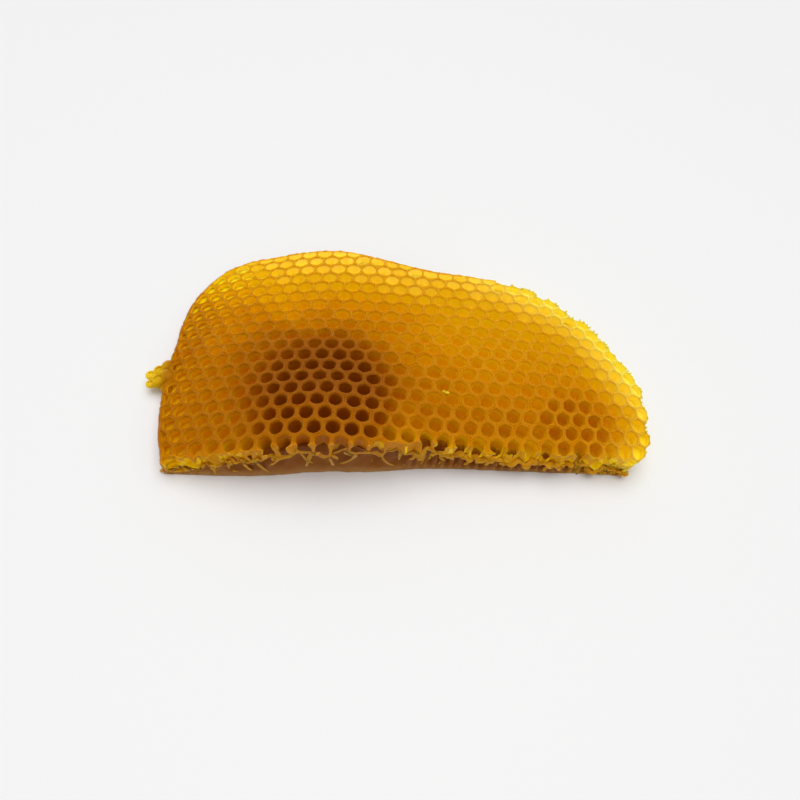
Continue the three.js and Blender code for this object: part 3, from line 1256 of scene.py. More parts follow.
    def _trim(self) -> None:
        """Cuts the front with a knife, and tears the lower layer away behind the cut."""
        low, high = self.knife_low, self.knife_high
        x = np.linspace(-self.blade_half_length, self.blade_half_length, self.blade_columns)
        column, row = np.meshgrid(x, np.linspace(low, high, self.knife_rows), indexing="ij")
        knife = self._blade("knife", self.cut.knife_face(column, row), np.full(len(x), high), x)
        combine(self.piece, knife, "DIFFERENCE")
        lip = self.cut.lip_height(x)
        row = low + (lip[:, None] - low) * np.linspace(0, 1, self.tear_rows)
        column = np.repeat(x[:, None], self.tear_rows, axis=1)
        tear = self._blade("tear", self.cut.tear_face(column, row), lip, x)
        combine(self.piece, tear, "DIFFERENCE")
        scraps = keep_largest(self.piece)
        LOG.info("trimmed: %d scraps, %d faces", scraps, len(self.piece.data.polygons))


# ---- The torn edge, and other small wax ---------------------------------------------------------


def strand(
    name: str, path: Array, across: Array, through: Array,
    facing: tuple[float, float, float] = (0, -1, 0), sides: int = 8,
) -> bpy.types.Object:
    """Models a strand of wax along a path, drawn together at both ends.

    Args:
        name: name of the object
        path: (n, 3) points, mm
        across: half width at each point, mm
        through: half thickness at each point, mm
        facing: way in which its flat side faces
        sides: number of faces round it

    Returns:
        the object
    """
    steps = len(path)
    piece, along, around = new_grid(name, steps, sides + 1)
    step = np.round(along * (steps - 1)).astype(int)
    turn = around * (2 * math.pi)
    ahead = np.gradient(path, axis=0)
    ahead /= np.linalg.norm(ahead, axis=1)[:, None]
    side = np.cross(ahead, facing)
    side /= np.linalg.norm(side, axis=1)[:, None]
    out = np.cross(side, ahead)
    closed = np.ones(steps)
    closed[[0, -1]] = 0
    wide, thick = (across * closed)[step] * np.cos(turn), (through * closed)[step] * np.sin(turn)
    move_points(piece, path[step] + side[step] * wide[:, None] + out[step] * thick[:, None])
    close_grid(piece)
    return piece


@dataclass(frozen=True)
class Place:
    """Where one copy of a small model goes.

    Args:
        model: number of the model
        at: where its root is, mm
        way: direction in which it grows
        spin: turn about that direction, radians
        length: its length, mm
        width: factor on its width
    """

    model: int
    at: tuple[float, float, float]
    way: tuple[float, float, float]
    spin: float
    length: float
    width: float


@dataclass(frozen=True)
class Habit:
    """How one kind of torn wax grows.

    Args:
        aside: how much its direction varies along the cut
        forward: range of its direction along Y
        down: range of its direction downwards
        length: range of its length, mm
        width: range of the factor on its width
        models: the first of its models, and the first past them
        spin: how much it is turned about its direction, radians
    """

    aside: float
    forward: Range
    down: Range
    length: Range
    width: Range
    models: tuple[int, int] = (0, 5)
    spin: float = 1.0

    def grow(self, draw: np.random.Generator, root: tuple[float, float, float]) -> Place:
        """Draws one shred.

        Args:
            draw: random numbers
            root: where it grows, mm

        Returns:
            its place
        """
        way = (draw.normal(0, self.aside), draw.uniform(*self.forward), -draw.uniform(*self.down))
        model, spin = int(draw.integers(*self.models)), draw.uniform(-self.spin, self.spin)
        return Place(model, root, way, spin, draw.uniform(*self.length), draw.uniform(*self.width))


@dataclass
class Shreds:
    """A few torn strips of wax, each modelled once, one unit long, and copied to many places."""

    hooks: tuple[float, ...] = (0.0, 0.25, -0.3, 0.5, -0.55)  # how far the tip of each bends aside
    shorter: float = 0.35  # how much shorter a strip gets by its hook
    sway: float = 0.1
    half_width: float = 0.42
    root_width: float = 1.1  # shares of that width
    taper: float = 0.45
    lumps: float = 0.25
    lump_pace: float = 8.0
    lump_shift: float = 2.1  # from one strip to the next
    flatness: float = 0.5
    upright: float = 0.8  # strips nearer to the Y axis than this take their sides from Z
    steps: int = 8
    models: list[tuple[Array, list[list[int]]]] = field(default_factory=list)

    def __post_init__(self) -> None:
        """Models the strips, growing along +X with their flat side towards -Y."""
        t = np.linspace(0, 1, self.steps)
        for number, hook in enumerate(self.hooks):
            ahead = t - self.shorter * abs(hook) * t**4
            path = np.stack([ahead, self.sway * np.sin(3 * t + number), hook * t**3], 1)
            lumps = 1 + self.lumps * np.sin(self.lump_pace * t + self.lump_shift * number)
            width = self.half_width * (self.root_width - self.taper * t) * lumps
            piece = strand("strip", path, width, width * self.flatness)
            faces = [list(face.vertices) for face in piece.data.polygons]
            points = points_of(piece)
            nearest = path[np.linalg.norm(points[:, None] - path, axis=2).argmin(1)]
            self.models.append((np.hstack([nearest, points - nearest]), faces))
            bpy.data.objects.remove(piece)

    def copies(self, name: str, places: list[Place]) -> bpy.types.Object:
        """Copies the strips to the places.

        Args:
            name: name of the object
            places: where they go

        Returns:
            one object that holds them all
        """
        points, faces, count = [], [], 0
        for place in places:
            model, polygons = self.models[place.model % len(self.models)]
            ahead = np.array(place.way, float)
            ahead /= np.linalg.norm(ahead)
            side = np.cross((0.0, 1.0, 0.0) if abs(ahead[1]) < self.upright else (0.0, 0.0, 1.0), ahead)
            side /= np.linalg.norm(side)
            out = np.cross(ahead, side)
            turned = math.cos(place.spin) * side + math.sin(place.spin) * out
            axes = np.stack([ahead, np.cross(turned, ahead), turned])
            shape = model[:, :3] * place.length + model[:, 3:] * place.width
            points.append(shape @ axes + place.at)
            faces += [[v + count for v in face] for face in polygons]
            count += len(model)
        return mesh_object(name, np.vstack(points), faces)


@dataclass
class TornEdge:
    """What the knife left along the cut: a smeared lip, and the shreds on it and below it."""

    cut: Cut
    left: float = -66.5
    right: float = 70.5
    dense: Ramp = Ramp(2.0, 2.0)  # the wax is more ragged from here on to the right
    lip: float = 0.3  # half the thickness of the smeared lip
    lip_at: Range = (0.1, 0.1)  # how far behind the cut and above its edge the lip runs
    lip_wander: float = 0.06
    lip_step: float = 0.55
    lip_flatness: float = 1.3
    lip_facing: tuple[float, float, float] = (0, -0.5, 1)
    lip_lumps: Waves = Waves(14, 4, 0.25)
    lip_swelling: float = 0.9  # how much thicker it is in the right half
    lip_right: Ramp = Ramp(4.0, 3.0)
    proud: float = 0.15  # how far in front of the cut the shreds begin
    hung_end: float = 1.5  # the shreds hang to this far from both ends
    hung_above: float = 0.1  # how far above the lip they begin
    hung_astray: float = 1.3  # how far they are from even places
    long: Range = (3.5, 8.5)  # lengths of the hanging shreds of the left half
    short: Range = (1.2, 3.6)
    hung_past: Range = (0.2, 1.2)  # how much longer than their height they may be, and the least length
    hung_aside: float = 0.18
    hung_forward: Range = (-0.16, 0.0)
    hung_width: Range = (1.0, 1.6)
    hung_wider: float = 0.6  # how much wider they are in the right half
    hung_spin: float = 0.4
    hung_steps: tuple[float, ...] = (0.5, 1.0, 1.0)  # steps to the next shred, in cells
    hung_closer: float = 0.5  # how much closer they are in the right half
    fibre_end: float = 1.0
    fibre_step: float = 1.3
    fibre_share: tuple[float, float, float] = (0.2, 0.6, 0.2)  # anywhere, more left and more right
    fibre_left: Ramp = Ramp(-34.0, -4.0)
    fibre_right: Ramp = Ramp(8.0, 4.0)
    fibre_astray: float = 0.4
    fibre_above: Range = (0.0, 2.6)
    fibre: Habit = Habit(0.7, (-0.25, 0.1), (0.2, 1.0), (0.9, 2.2), (1.1, 2.2))
    curls_left: tuple[float, float, int] = (-65.5, -46, 9)  # from, to and how many
    curls_right: tuple[float, float, int] = (56, 69.5, 8)
    curl_behind: float = 0.2  # how far behind the cut they begin
    curl_least: float = 0.5  # least height
    curl: Habit = Habit(1.0, (-0.2, 0.1), (0.0, 0.5), (1.4, 3.2), (1.0, 1.7), (1, 5))
    middle_x: float = -12.0
    middle_reach: float = 26.0
    light: float = 0.12  # painted glow for light through the shreds, and as much again in the right half
    light_right: Ramp = Ramp(2.0, 4.0)
    seed: int = 21

    def lip_thread(self) -> bpy.types.Object:
        """Models the thread of smeared wax along the lower edge of the cut.

        Returns:
            the object
        """
        draw = np.random.default_rng(self.seed)
        x = np.arange(self.left, self.right, self.lip_step)
        z = self.cut.lip_height(x)
        y = self.cut.knife_face(x, z) + self.lip_at[0]
        path = np.stack([x, y, z + self.lip_at[1]], 1) + draw.normal(0, self.lip_wander, (len(x), 3))
        lumps = (1 + self.lip_lumps.at(path)) * (1 + self.lip_swelling * self.lip_right.share(x))
        wide = self.lip * self.lip_flatness * lumps
        return strand("cut_lip", path, wide, self.lip * lumps, self.lip_facing)

    def _height(self, x: float) -> float:
        """Returns the height of the lip at one place."""
        return float(self.cut.lip_height(np.array([x]))[0])

    def _root(self, x: float, above: float) -> tuple[float, float, float]:
        """Returns a point of the knife's cut, this far above the lip."""
        z = self._height(x) + above
        return x, float(self.cut.knife_face(np.array([x]), np.array([z]))[0]) - self.proud, z

    def hanging(self) -> list[Place]:
        """Places the shreds that hang from the lip, about one from each cell wall.

        Returns:
            their places
        """
        draw = np.random.default_rng(self.seed + 1)
        places, x = [], self.left + self.hung_end
        while x < self.right - self.hung_end:
            root = self._root(x + draw.uniform(-self.hung_astray, self.hung_astray), self.hung_above)
            dense = float(self.dense.share(x))
            most = draw.uniform(*self.long) * (1 - dense) + draw.uniform(*self.short) * dense
            length = min(most, max(root[2] + self.hung_past[0], self.hung_past[1]))
            way = (draw.normal(0, self.hung_aside), draw.uniform(*self.hung_forward), -1.0)
            width = draw.uniform(*self.hung_width) * (1 + self.hung_wider * dense)
            places.append(Place(len(places), root, way, draw.normal(0, self.hung_spin), length, width))
            x += PITCH * draw.choice(self.hung_steps) * (1 - self.hung_closer * dense)
        return places

    def fibres(self) -> list[Place]:
        """Places the fine fibres that the knife raised on the cut, most of them at the left.

        Returns:
            their places
        """
        draw = np.random.default_rng(self.seed + 2)
        some, left, right = self.fibre_share
        places = []
        for x in np.arange(self.left + self.fibre_end, self.right - self.fibre_end, self.fibre_step):
            share = some + left * self.fibre_left.share(x) + right * self.fibre_right.share(x)
            if draw.random() > share:
                continue
            place = float(x + draw.uniform(-self.fibre_astray, self.fibre_astray))
            places.append(self.fibre.grow(draw, self._root(place, draw.uniform(*self.fibre_above))))
        return places

    def curls(self) -> list[Place]:
        """Places the ragged strips at both ends of the cut.

        Returns:
            their places
        """
        draw = np.random.default_rng(self.seed + 3)
        places = []
        for low, high, count in (self.curls_left, self.curls_right):
            for _ in range(count):
                x = float(draw.uniform(low, high))
                y = float(self.cut.sheet.cut_line(np.array([x]))[0]) + self.curl_behind
                root = (x, y, draw.uniform(self.curl_least, self._height(x)))
                places.append(self.curl.grow(draw, root))
        return places

    def age(self, points: Array) -> Array:
        """Returns the age of the shreds and the lip: old in the middle of the dark patch."""
        return bell((points[:, 0] - self.middle_x) / self.middle_reach)

    def lit(self, points: Array) -> Array:
        """Returns how much painted glow the shreds get for light through them: more in the right half."""
        return self.light * (1 + self.light_right.share(points[:, 0]))


@dataclass
class ShadedCrushedSkin:
    """The crushed wax that closes the torn cells behind the shreds: its brown is partly the wax's own colour
    and partly painted shade under the lip.
    """

    cut: Cut
    left: float = -65.5
    length: float = 134.5
    columns: int = 271
    rows: int = 8
    foot: float = 0.02
    below_lip: float = 0.1  # how far below the lip the skin ends
    sunk: float = 0.55  # how far it starts in front of the tear
    thickness: float = 1.2
    thicker: float = 1.5  # how much thicker it is in the right half, to close the cells behind
    thicker_right: Ramp = Ramp(2.0, 2.0)
    closing: float = 1.5  # how much higher it reaches at both ends
    back: float = 0.45  # what is farther behind the tear than this is the skin's back
    fluted: Ramp = Ramp(2.0, 3.0)  # right of here the flutes are deeper and twice as many
    flute: Range = (0.35, 0.45)  # depth of the flutes, and how much deeper they are at the right
    flute_foot: Range = (3.0, 1.5)  # height below which they fade, and how much lower at the right
    right_end: Ramp = Ramp(51.0, 0.8)
    left_end: Ramp = Ramp(-59.0, -0.8)
    fine: Waves = Waves(16, 2.5, 0.1)
    fine_foot: float = 4.0
    fine_least: float = 0.2
    pit_from: Range = (0.1, 0.25)  # shares of the lip's height from which on the pits get painted shade
    pit_below: float = 0.6  # how far below the lip the painted shade of the pits reaches
    plain_height: float = 13.0  # height at which the skin would be fully dark; painted shade deepening up towards the lip
    plain_most: float = 0.6
    end_light: float = 0.2  # painted glow for light through the skin's ends, and as much again in the right half
    end_right: Ramp = Ramp(0.0, 1.0)
    groove_light: float = 0.3  # how much less painted glow its grooves get, which paints shade into them
    # painted glow on the skin's back
    back_light: float = 0.5

    def build(self) -> bpy.types.Object:
        """Models the skin, a sheet of wax in the shape of the tear.

        Returns:
            the object
        """
        skin, along, up = new_grid("shaded_crushed_skin", self.columns, self.rows)
        x = self.left + along * self.length
        top = self.cut.lip_height(x) + self.closing * self._ends(x) - self.below_lip
        z = up * top + self.foot
        dense = self.fluted.share(x)
        flute = self._groove(x) * (self.flute[0] + self.flute[1] * dense)
        flute = flute * np.clip(z / (self.flute_foot[0] - self.flute_foot[1] * dense), 0, 1)
        fine = self.fine.at(on_face(x, z)) * np.clip(z / self.fine_foot, self.fine_least, 1)
        move_points(skin, np.stack([x, self.cut.tear_face(x, z) - self.sunk + flute + fine, z], 1))
        close_grid(skin, self.thickness)
        points = points_of(skin)
        back = self._behind(points)
        points[back, 1] += self.thicker * self.thicker_right.share(points[back, 0])
        move_points(skin, points)
        return skin

    def _behind(self, points: Array) -> Array:
        """Returns which points of the skin are on its back."""
        return points[:, 1] > self.cut.tear_face(points[:, 0], points[:, 2]) + self.back

    def _groove(self, x: Array) -> Array:
        """Returns how deep in a groove between two torn walls a place is, from 0 to 1."""
        return np.abs(np.sin(math.pi * x / PITCH * (1 + self.fluted.share(x))))

    def _ends(self, x: Array) -> Array:
        """Returns 1 at both ends of the cut, where the wax is yellow to the table, and 0 between."""
        return np.clip(self.right_end.share(x) + self.left_end.share(x), 0, 1)

    def shade(self, points: Array) -> Array:
        """Places the skin on its scale of colours, painting shade darker up towards the lip and darkest in
        the pits.

        Args:
            points: (n, 3) points, mm

        Returns:
            0 at the foot, 0.6 high up, 1 in the painted shade of the pits of the right half
        """
        x, _, z = points.T
        lip = self.cut.lip_height(x)
        high = np.clip((z / lip - self.pit_from[0]) / self.pit_from[1], 0, 1)
        high = high * np.clip((lip - z) / self.pit_below, 0, 1)
        # painted shade in the grooves between the torn walls, near the lip
        pit = self._groove(x) ** 2 * high * self.fluted.share(x) * ~self._behind(points)
        # painted shade that grows with height, up towards the overhanging lip
        plain = np.clip(z / self.plain_height, 0, self.plain_most)
        return plain + (1 - plain) * pit

    def lit(self, points: Array) -> Array:
        """Works out how much painted glow the skin gets for light through it: most at its back and at the
        right end.

        Args:
            points: (n, 3) points, mm

        Returns:
            the share of light at each point
        """
        x = points[:, 0]
        ends = self._ends(x) * self.end_light * (1 + self.end_right.share(x))
        ends = ends * (1 - self.groove_light * self._groove(x) ** 2)
        return np.where(self._behind(points), self.back_light * self.fluted.share(x), ends)


@dataclass
class Fringe:
    """The thin tips that stand along the jagged right rim, and the one flake that lies on the comb."""

    comb: Comb
    from_x: float = 34.0
    reach_x: float = 75.6
    gaps: float = 0.45  # share of the places that have no tip
    sunk: float = 0.5
    lengths: Range = (0.3, 0.8)
    widths: Range = (1.2, 1.9)
    tilt: Range = (-0.1, 0.7)
    models: int = 5
    spin: float = 1.5
    flake_at: Range = (13.1, -19.5)
    flake_root: tuple[float, float, float] = (-0.9, 0.7, 0.1)  # from there, and above the lips
    flake_way: tuple[float, float, float] = (0.8, -0.6, -0.05)
    flake_spin: float = 1.2
    flake_size: Range = (2.4, 1.6)  # length and width
    seed: int = 31

    def tips(self) -> list[Place]:
        """Places the tips.

        Returns:
            their places
        """
        draw = np.random.default_rng(self.seed)
        sheet, pattern = self.comb.sheet, self.comb.upper
        ring = pattern.points[pattern.loop]
        along = np.roll(ring, -1, axis=0) - np.roll(ring, 1, axis=0)
        places = []
        for (x, y), (dx, dy) in zip(ring, along):
            if x < self.from_x or y < sheet.cut_line(x) or draw.random() < self.gaps:
                continue
            root = sheet.leaned(np.array([[x, y, float(sheet.top(x, y)) - self.sunk]]))[0]
            size = math.hypot(dx, dy)
            length = min(draw.uniform(*self.lengths), max(self.reach_x - root[0], self.lengths[0]))
            way = (dy / size, -dx / size, draw.uniform(*self.tilt))
            model, spin = int(draw.integers(self.models)), draw.uniform(-self.spin, self.spin)
            places.append(Place(model, tuple(root), way, spin, length, draw.uniform(*self.widths)))
        return places

    def flake(self) -> Place:
        """Places the flake.

        Returns:
            its place
        """
        x, y = self.flake_at
        height = float(self.comb.sheet.top(np.array(x), np.array(y)))
        root = (x + self.flake_root[0], y + self.flake_root[1], height + self.flake_root[2])
        return Place(1, root, self.flake_way, self.flake_spin, *self.flake_size)


@dataclass
class Spur:
    """The small lump of new cells that grows out of the left rim."""

    lumps: tuple[tuple[float, float, float, float], ...] = (
        (-75.0, -11.7, 3.5, 1.65), (-74.7, -14.6, 3.1, 1.4), (-72.4, -13.6, 3.5, 2.4),
        (-72.8, -10.0, 3.6, 1.9), (-70.6, -8.2, 3.7, 2.1), (-69.7, -16.0, 3.2, 1.8),
        (-70.0, -12.4, 3.6, 3.0),
    )  # x, y, z and radius, mm
    open_lumps: int = 4
    flatness: float = 0.75
    pit: Range = (0.45, 0.8)  # radii of a pit at its foot and mouth, as shares of the lump's
    pit_height: float = 1.6
    pit_sides: int = 16
    ball_grid: tuple[int, int] = (20, 12)  # faces round a lump, and from pole to pole
    tip_x: float = -76.0
    length: float = 6.0
    # painted glow for light through the spur, most at its tip
    tip_light: float = 0.45
    light_fall: float = 0.3  # how much less painted glow the wax gets where it is old

    def build(self) -> bpy.types.Object:
        """Models the lumps, fuses them and sinks a pit into each open one.

        Returns:
            the object
        """
        spur = self._ball(*self.lumps[0])
        for lump in self.lumps[1:]:
            combine(spur, self._ball(*lump), "UNION")
        for x, y, z, radius in self.lumps[: self.open_lumps]:
            deselect_all()
            bpy.ops.mesh.primitive_cone_add(
                vertices=self.pit_sides, depth=self.pit_height * MM,
                radius1=radius * self.pit[0] * MM, radius2=radius * self.pit[1] * MM,
                location=(x * MM, y * MM, (z + radius * self.flatness) * MM),
            )
            pit = bpy.context.object
            bpy.ops.object.transform_apply(location=True, rotation=True, scale=True)
            combine(spur, pit, "DIFFERENCE")
        spur.name = "rim_spur"
        return spur

    def _ball(self, x: float, y: float, z: float, radius: float) -> bpy.types.Object:
        """Models one lump, flattened a little.

        Args:
            x: where its middle is, mm
            y: where its middle is, mm
            z: where its middle is, mm
            radius: its radius in plan, mm

        Returns:
            the object
        """
        deselect_all()
        bpy.ops.mesh.primitive_uv_sphere_add(
            segments=self.ball_grid[0], ring_count=self.ball_grid[1], radius=radius * MM,
            location=(x * MM, y * MM, z * MM), scale=(1, 1, self.flatness),
        )
        ball = bpy.context.object
        bpy.ops.object.transform_apply(location=True, rotation=True, scale=True)
        return ball

    def age(self, points: Array) -> Array:
        """Returns the age of the wax: new at the tip of the spur, older towards the comb."""
        return np.clip((points[:, 0] - self.tip_x) / self.length, 0, 1)

    def lit(self, points: Array) -> Array:
        """Returns how much painted glow the spur gets for light through it: most at its tip."""
        return self.tip_light - self.light_fall * self.age(points)


# ---- Finishes -----------------------------------------------------------------------------------

Colour = tuple[int, int, int]
Stops = tuple[tuple[float, Colour], ...]

TORN_STOPS: Stops = ((0.0, (206, 142, 24)), (0.5, (188, 132, 30)), (1.0, (180, 130, 46)))
# the skin's brown, partly the wax's own colour and partly painted shade: darker stops higher up and in the
# pits
CRUSHED_AND_SHADED_STOPS: Stops = (
    (0.0, (186, 134, 76)), (0.25, (150, 90, 32)), (0.6, (138, 74, 20)), (1.0, (98, 38, 10)),
)
SPUR_STOPS: Stops = ((0.0, (240, 212, 62)), (0.5, (216, 176, 20)), (1.0, (180, 115, 6)))
BLACK = (0.0, 0.0, 0.0, 1.0)
THIN_WAX_AGE = 0.45  # the age whose painted deep colour and glow show where light comes through thin scraps
LIT_DEPTH = 2.2  # depth at which that colour shows fully, mm
SMALL_CREASE = 60.0  # edges of small pieces sharper than this stay sharp, degrees


def linear(colour: Colour) -> tuple[float, float, float, float]:
    """Turns a screen colour into the colour that a shader takes, by the usual sRGB curve.

    Args:
        colour: red, green and blue from 0 to 255

    Returns:
        red, green, blue and alpha, linear, from 0 to 1
    """
    parts = [c / 255 for c in colour]
    red, green, blue = (c / 12.92 if c <= 0.04045 else ((c + 0.055) / 1.055) ** 2.4 for c in parts)
    return red, green, blue, 1.0


class Value:
    """A number that varies over a surface, with arithmetic that adds Math nodes."""

    def __init__(self, graph: "Graph", socket: bpy.types.NodeSocket) -> None:
        """Wraps an output socket of the graph."""
        self.graph = graph
        self.socket = socket

    def math(self, operation: str, other: "Value | float") -> "Value":
        """Returns the result of one Math node on this value and another."""
        return self.graph.node("ShaderNodeMath", {"operation": operation}, {0: self, 1: other})

    def __add__(self, other: "Value | float") -> "Value":
        """Returns the sum."""
        return self.math("ADD", other)

    def __sub__(self, other: "Value | float") -> "Value":
        """Returns the difference."""
        return self.math("SUBTRACT", other)

    def __mul__(self, other: "Value | float") -> "Value":
        """Returns the product."""
        return self.math("MULTIPLY", other)

    def eased(self, low: float, high: float) -> "Value":
        """Eases the value in.

        Args:
            low: where the result is 0
            high: where it is 1

        Returns:
            the result, eased at both ends
        """
        return self.graph.node(
            "ShaderNodeMapRange", {"interpolation_type": "SMOOTHSTEP"},
            {"Value": self, "From Min": low, "From Max": high, "To Min": 0.0, "To Max": 1.0},
        )


class Graph:
    """The nodes of one material."""

    def __init__(self, name: str) -> None:
        """Starts a material with a bare Principled shader.

        Args:
            name: name of the material
        """
        self.material = bpy.data.materials.new(name)
        self.material.use_nodes = True
        self.tree = self.material.node_tree
        self.shader = self.tree.nodes["Principled BSDF"]

    def set_input(self, socket: bpy.types.NodeSocket, value: Any) -> None:
        """Gives a socket its value.

        Args:
            socket: the input socket
            value: a value to link, or a plain number or colour to set
        """
        if isinstance(value, Value):
            self.tree.links.new(value.socket, socket)
        else:
            socket.default_value = value

    def finish(self, **inputs: Any) -> None:
        """Sets inputs of the shader by name, with _ for each space."""
        for name, value in inputs.items():
            self.set_input(self.shader.inputs[name.replace("_", " ")], value)

    def node(
        self, kind: str, settings: dict[str, Any] | None = None,
        inputs: dict[int | str, Any] | None = None, output: int | str = 0,
    ) -> Value:
        """Adds one node.

        Args:
            kind: the node's type
            settings: its settings, set first; stops gives a ramp's positions and colours
            inputs: values or links of its sockets, by name or number
            output: the output socket to return, by name or number

        Returns:
            the output
        """
        made = self.tree.nodes.new(kind)
        for name, value in (settings or {}).items():
            if name == "stops":
                ramp = made.color_ramp
                while len(ramp.elements) < len(value):
                    ramp.elements.new(0.5)
                for element, (place, colour) in zip(ramp.elements, value):
                    element.position, element.color = place, linear(colour)
            else:
                setattr(made, name, value)
        for name, value in (inputs or {}).items():
            self.set_input(made.inputs[name], value)
        return Value(self, made.outputs[output])

    def attribute(self, name: str) -> Value:
        """Returns a number that the mesh carries at its vertices."""
        return self.node("ShaderNodeAttribute", {"attribute_name": name}, output="Fac")

    def ramp(self, stops: Stops, place: Value) -> Value:
        """Returns the colour at a place on a scale of colours."""
        return self.node("ShaderNodeValToRGB", {"stops": stops}, {"Fac": place})

    def noise(self, size: float, detail: float) -> Value:
        """Adds noise.

        Args:
            size: about how large its features are, mm
            detail: how many finer ones it has

        Returns:
            the noise, from 0 to 1
        """
        place = self.node("ShaderNodeTexCoord", output="Object")
        return self.node(
            "ShaderNodeTexNoise", {"noise_dimensions": "3D"},
            {"Vector": place, "Scale": 1 / (size * MM), "Detail": detail, "Roughness": 0.6}, "Fac",
        )

    def mixed(self, first: Any, second: Any, share: Value) -> Value:
        """Returns a colour between two colours."""
        return self.node("ShaderNodeMix", {"data_type": "RGBA"}, {0: share, 6: first, 7: second}, 2)


@dataclass(frozen=True)
class WaxFinish:
    """Comb wax: pale where it is new and thin, dark where it is old, painted brighter down in the cells for
    light through them.

    The mesh carries six numbers: age and lip_age from 0 to 1, of the cells and of their lips, depth below
    the lips in mm, tint, a draw for each cell from -1 to 1, lemon, how pale the wax is, and shine, how
    much painted glow a place gets for the light that comes through the walls.
    """

    name: str = "comb_wax"
    lips: Stops = (
        (0.0, (222, 162, 14)), (0.2, (220, 156, 8)), (0.4, (208, 137, 2)), (0.55, (192, 120, 2)),
        (0.7, (174, 104, 3)), (0.85, (160, 90, 6)), (1.0, (146, 80, 8)),
    )
    # painted light: the colours down in the cells, brighter and yellower than the lips, stand in for light
    # that comes through the thin floors
    deep: Stops = (
        (0.0, (251, 229, 124)), (0.2, (246, 217, 32)), (0.4, (243, 206, 10)), (0.55, (238, 194, 8)),
        (0.7, (228, 174, 6)), (0.85, (202, 128, 5)), (1.0, (170, 85, 4)),
    )
    # painted glow: emission colours that stand in for light coming through the wax, strongest in new wax
    glow: Stops = (
        (0.0, (128, 116, 36)), (0.25, (84, 76, 0)), (0.45, (80, 60, 0)), (0.6, (64, 46, 0)),
        (0.8, (56, 32, 0)), (1.0, (51, 24, 0)),
    )
    lemon_lips: Colour = (255, 228, 88)
    lemon_deep: Colour = (246, 226, 60)
    # painted glow of the pale lemon wax
    lemon_glow: Colour = (106, 94, 18)
    lemon_share: float = 0.8  # how much of the lemon colour shows deep in the cells
    deep_from: float = 0.25  # depths from which and down to which the deep colour comes in, mm
    deep_to: float = 2.1
    glow_from: float = 0.2
    glow_to: float = 2.0
    speck: float = 0.7  # sizes of the specks and the clouds, mm
    cloud: float = 9.0
    speck_depth: float = 0.5
    cloud_age: float = 0.1
    tint_age: float = 0.04
    roughness: float = 0.42
    rough_spread: float = 0.2
    bump: float = 0.35
    bump_height: float = 0.15
    scatter: tuple[float, float, float] = (1.0, 0.92, 0.6)  # how far each colour runs in the wax, mm
    gloss: float = 0.15
    gloss_colour: tuple[float, float, float, float] = (1.0, 0.7, 0.15, 1.0)

    def material(self) -> bpy.types.Material:
        """Makes the material.

        Returns:
            the finished material
        """
        graph = Graph(self.name)
        speck = graph.noise(self.speck, 3.0)
        cloud = (graph.noise(self.cloud, 2.0) - 0.5) * self.cloud_age
        depth = graph.attribute("depth") + (speck - 0.5) * self.speck_depth
        age = graph.attribute("age") + cloud + graph.attribute("tint") * self.tint_age
        lemon = graph.attribute("lemon")
        lips = graph.ramp(self.lips, graph.attribute("lip_age") + cloud)
        lips = graph.mixed(lips, linear(self.lemon_lips), lemon)
        deep = graph.mixed(graph.ramp(self.deep, age), linear(self.lemon_deep), lemon * self.lemon_share)
        glow = graph.mixed(graph.ramp(self.glow, age), linear(self.lemon_glow), lemon)
        # painted glow: it grows with depth below the lips, where the shine mark lets it
        shine = depth.eased(self.glow_from, self.glow_to) * graph.attribute("shine")
        bump = graph.node("ShaderNodeBump", inputs={
            "Strength": self.bump, "Distance": self.bump_height * MM, "Height": speck,
        })
        # Base Color turns from the lips to the painted brighter deep colour, and Emission Color paints the
        # glow
        graph.finish(
            Base_Color=graph.mixed(lips, deep, depth.eased(self.deep_from, self.deep_to)),
            Roughness=speck * self.rough_spread + (self.roughness - self.rough_spread / 2),
            Emission_Color=graph.mixed(BLACK, glow, shine), Emission_Strength=1.0, Normal=bump,
            Subsurface_Weight=1.0, Subsurface_Radius=self.scatter, Subsurface_Scale=MM,
            Specular_IOR_Level=self.gloss, Specular_Tint=self.gloss_colour,
        )
        return graph.material


def finish_small(
    piece: bpy.types.Object, material: bpy.types.Material, age: Array, lit: Array, box: Array
) -> None:
    """Gives a small piece its finish and puts it into the shared frame.

    Args:
        piece: the object, in the frame of the pattern
        material: its finish
        age: place of each vertex on the finish's own colours
        lit: how much painted glow each vertex gets, for light that comes through the wax
        box: the two corners that the piece stays between, mm
    """
    none = np.zeros(len(age))
    write_marks(
        piece, lip_age=age, age=none + THIN_WAX_AGE, depth=LIT_DEPTH * lit, shine=lit, tint=none, lemon=none
    )
    dress(piece, material, SMALL_CREASE)
    move_points(piece, np.clip(points_of(piece) + SHIFT, *box))


@dataclass(frozen=True)
class Patch:
    """A darker patch of the comb, or a lighter one where its strength is below 0: an ellipse with soft
    edges.
    """

    x: float
    y: float
    half_length: float
    half_width: float
    strength: float
    on_lips: float = 1.0  # how much of it colours the lips too
    edge: float = 0.13

    def cover(self, x: Array, y: Array) -> Array:
        """Returns how strongly the patch colours these places."""
        away = np.hypot((x - self.x) / self.half_length, (y - self.y) / self.half_width)
        return self.strength * rise((1 - away) / self.edge)


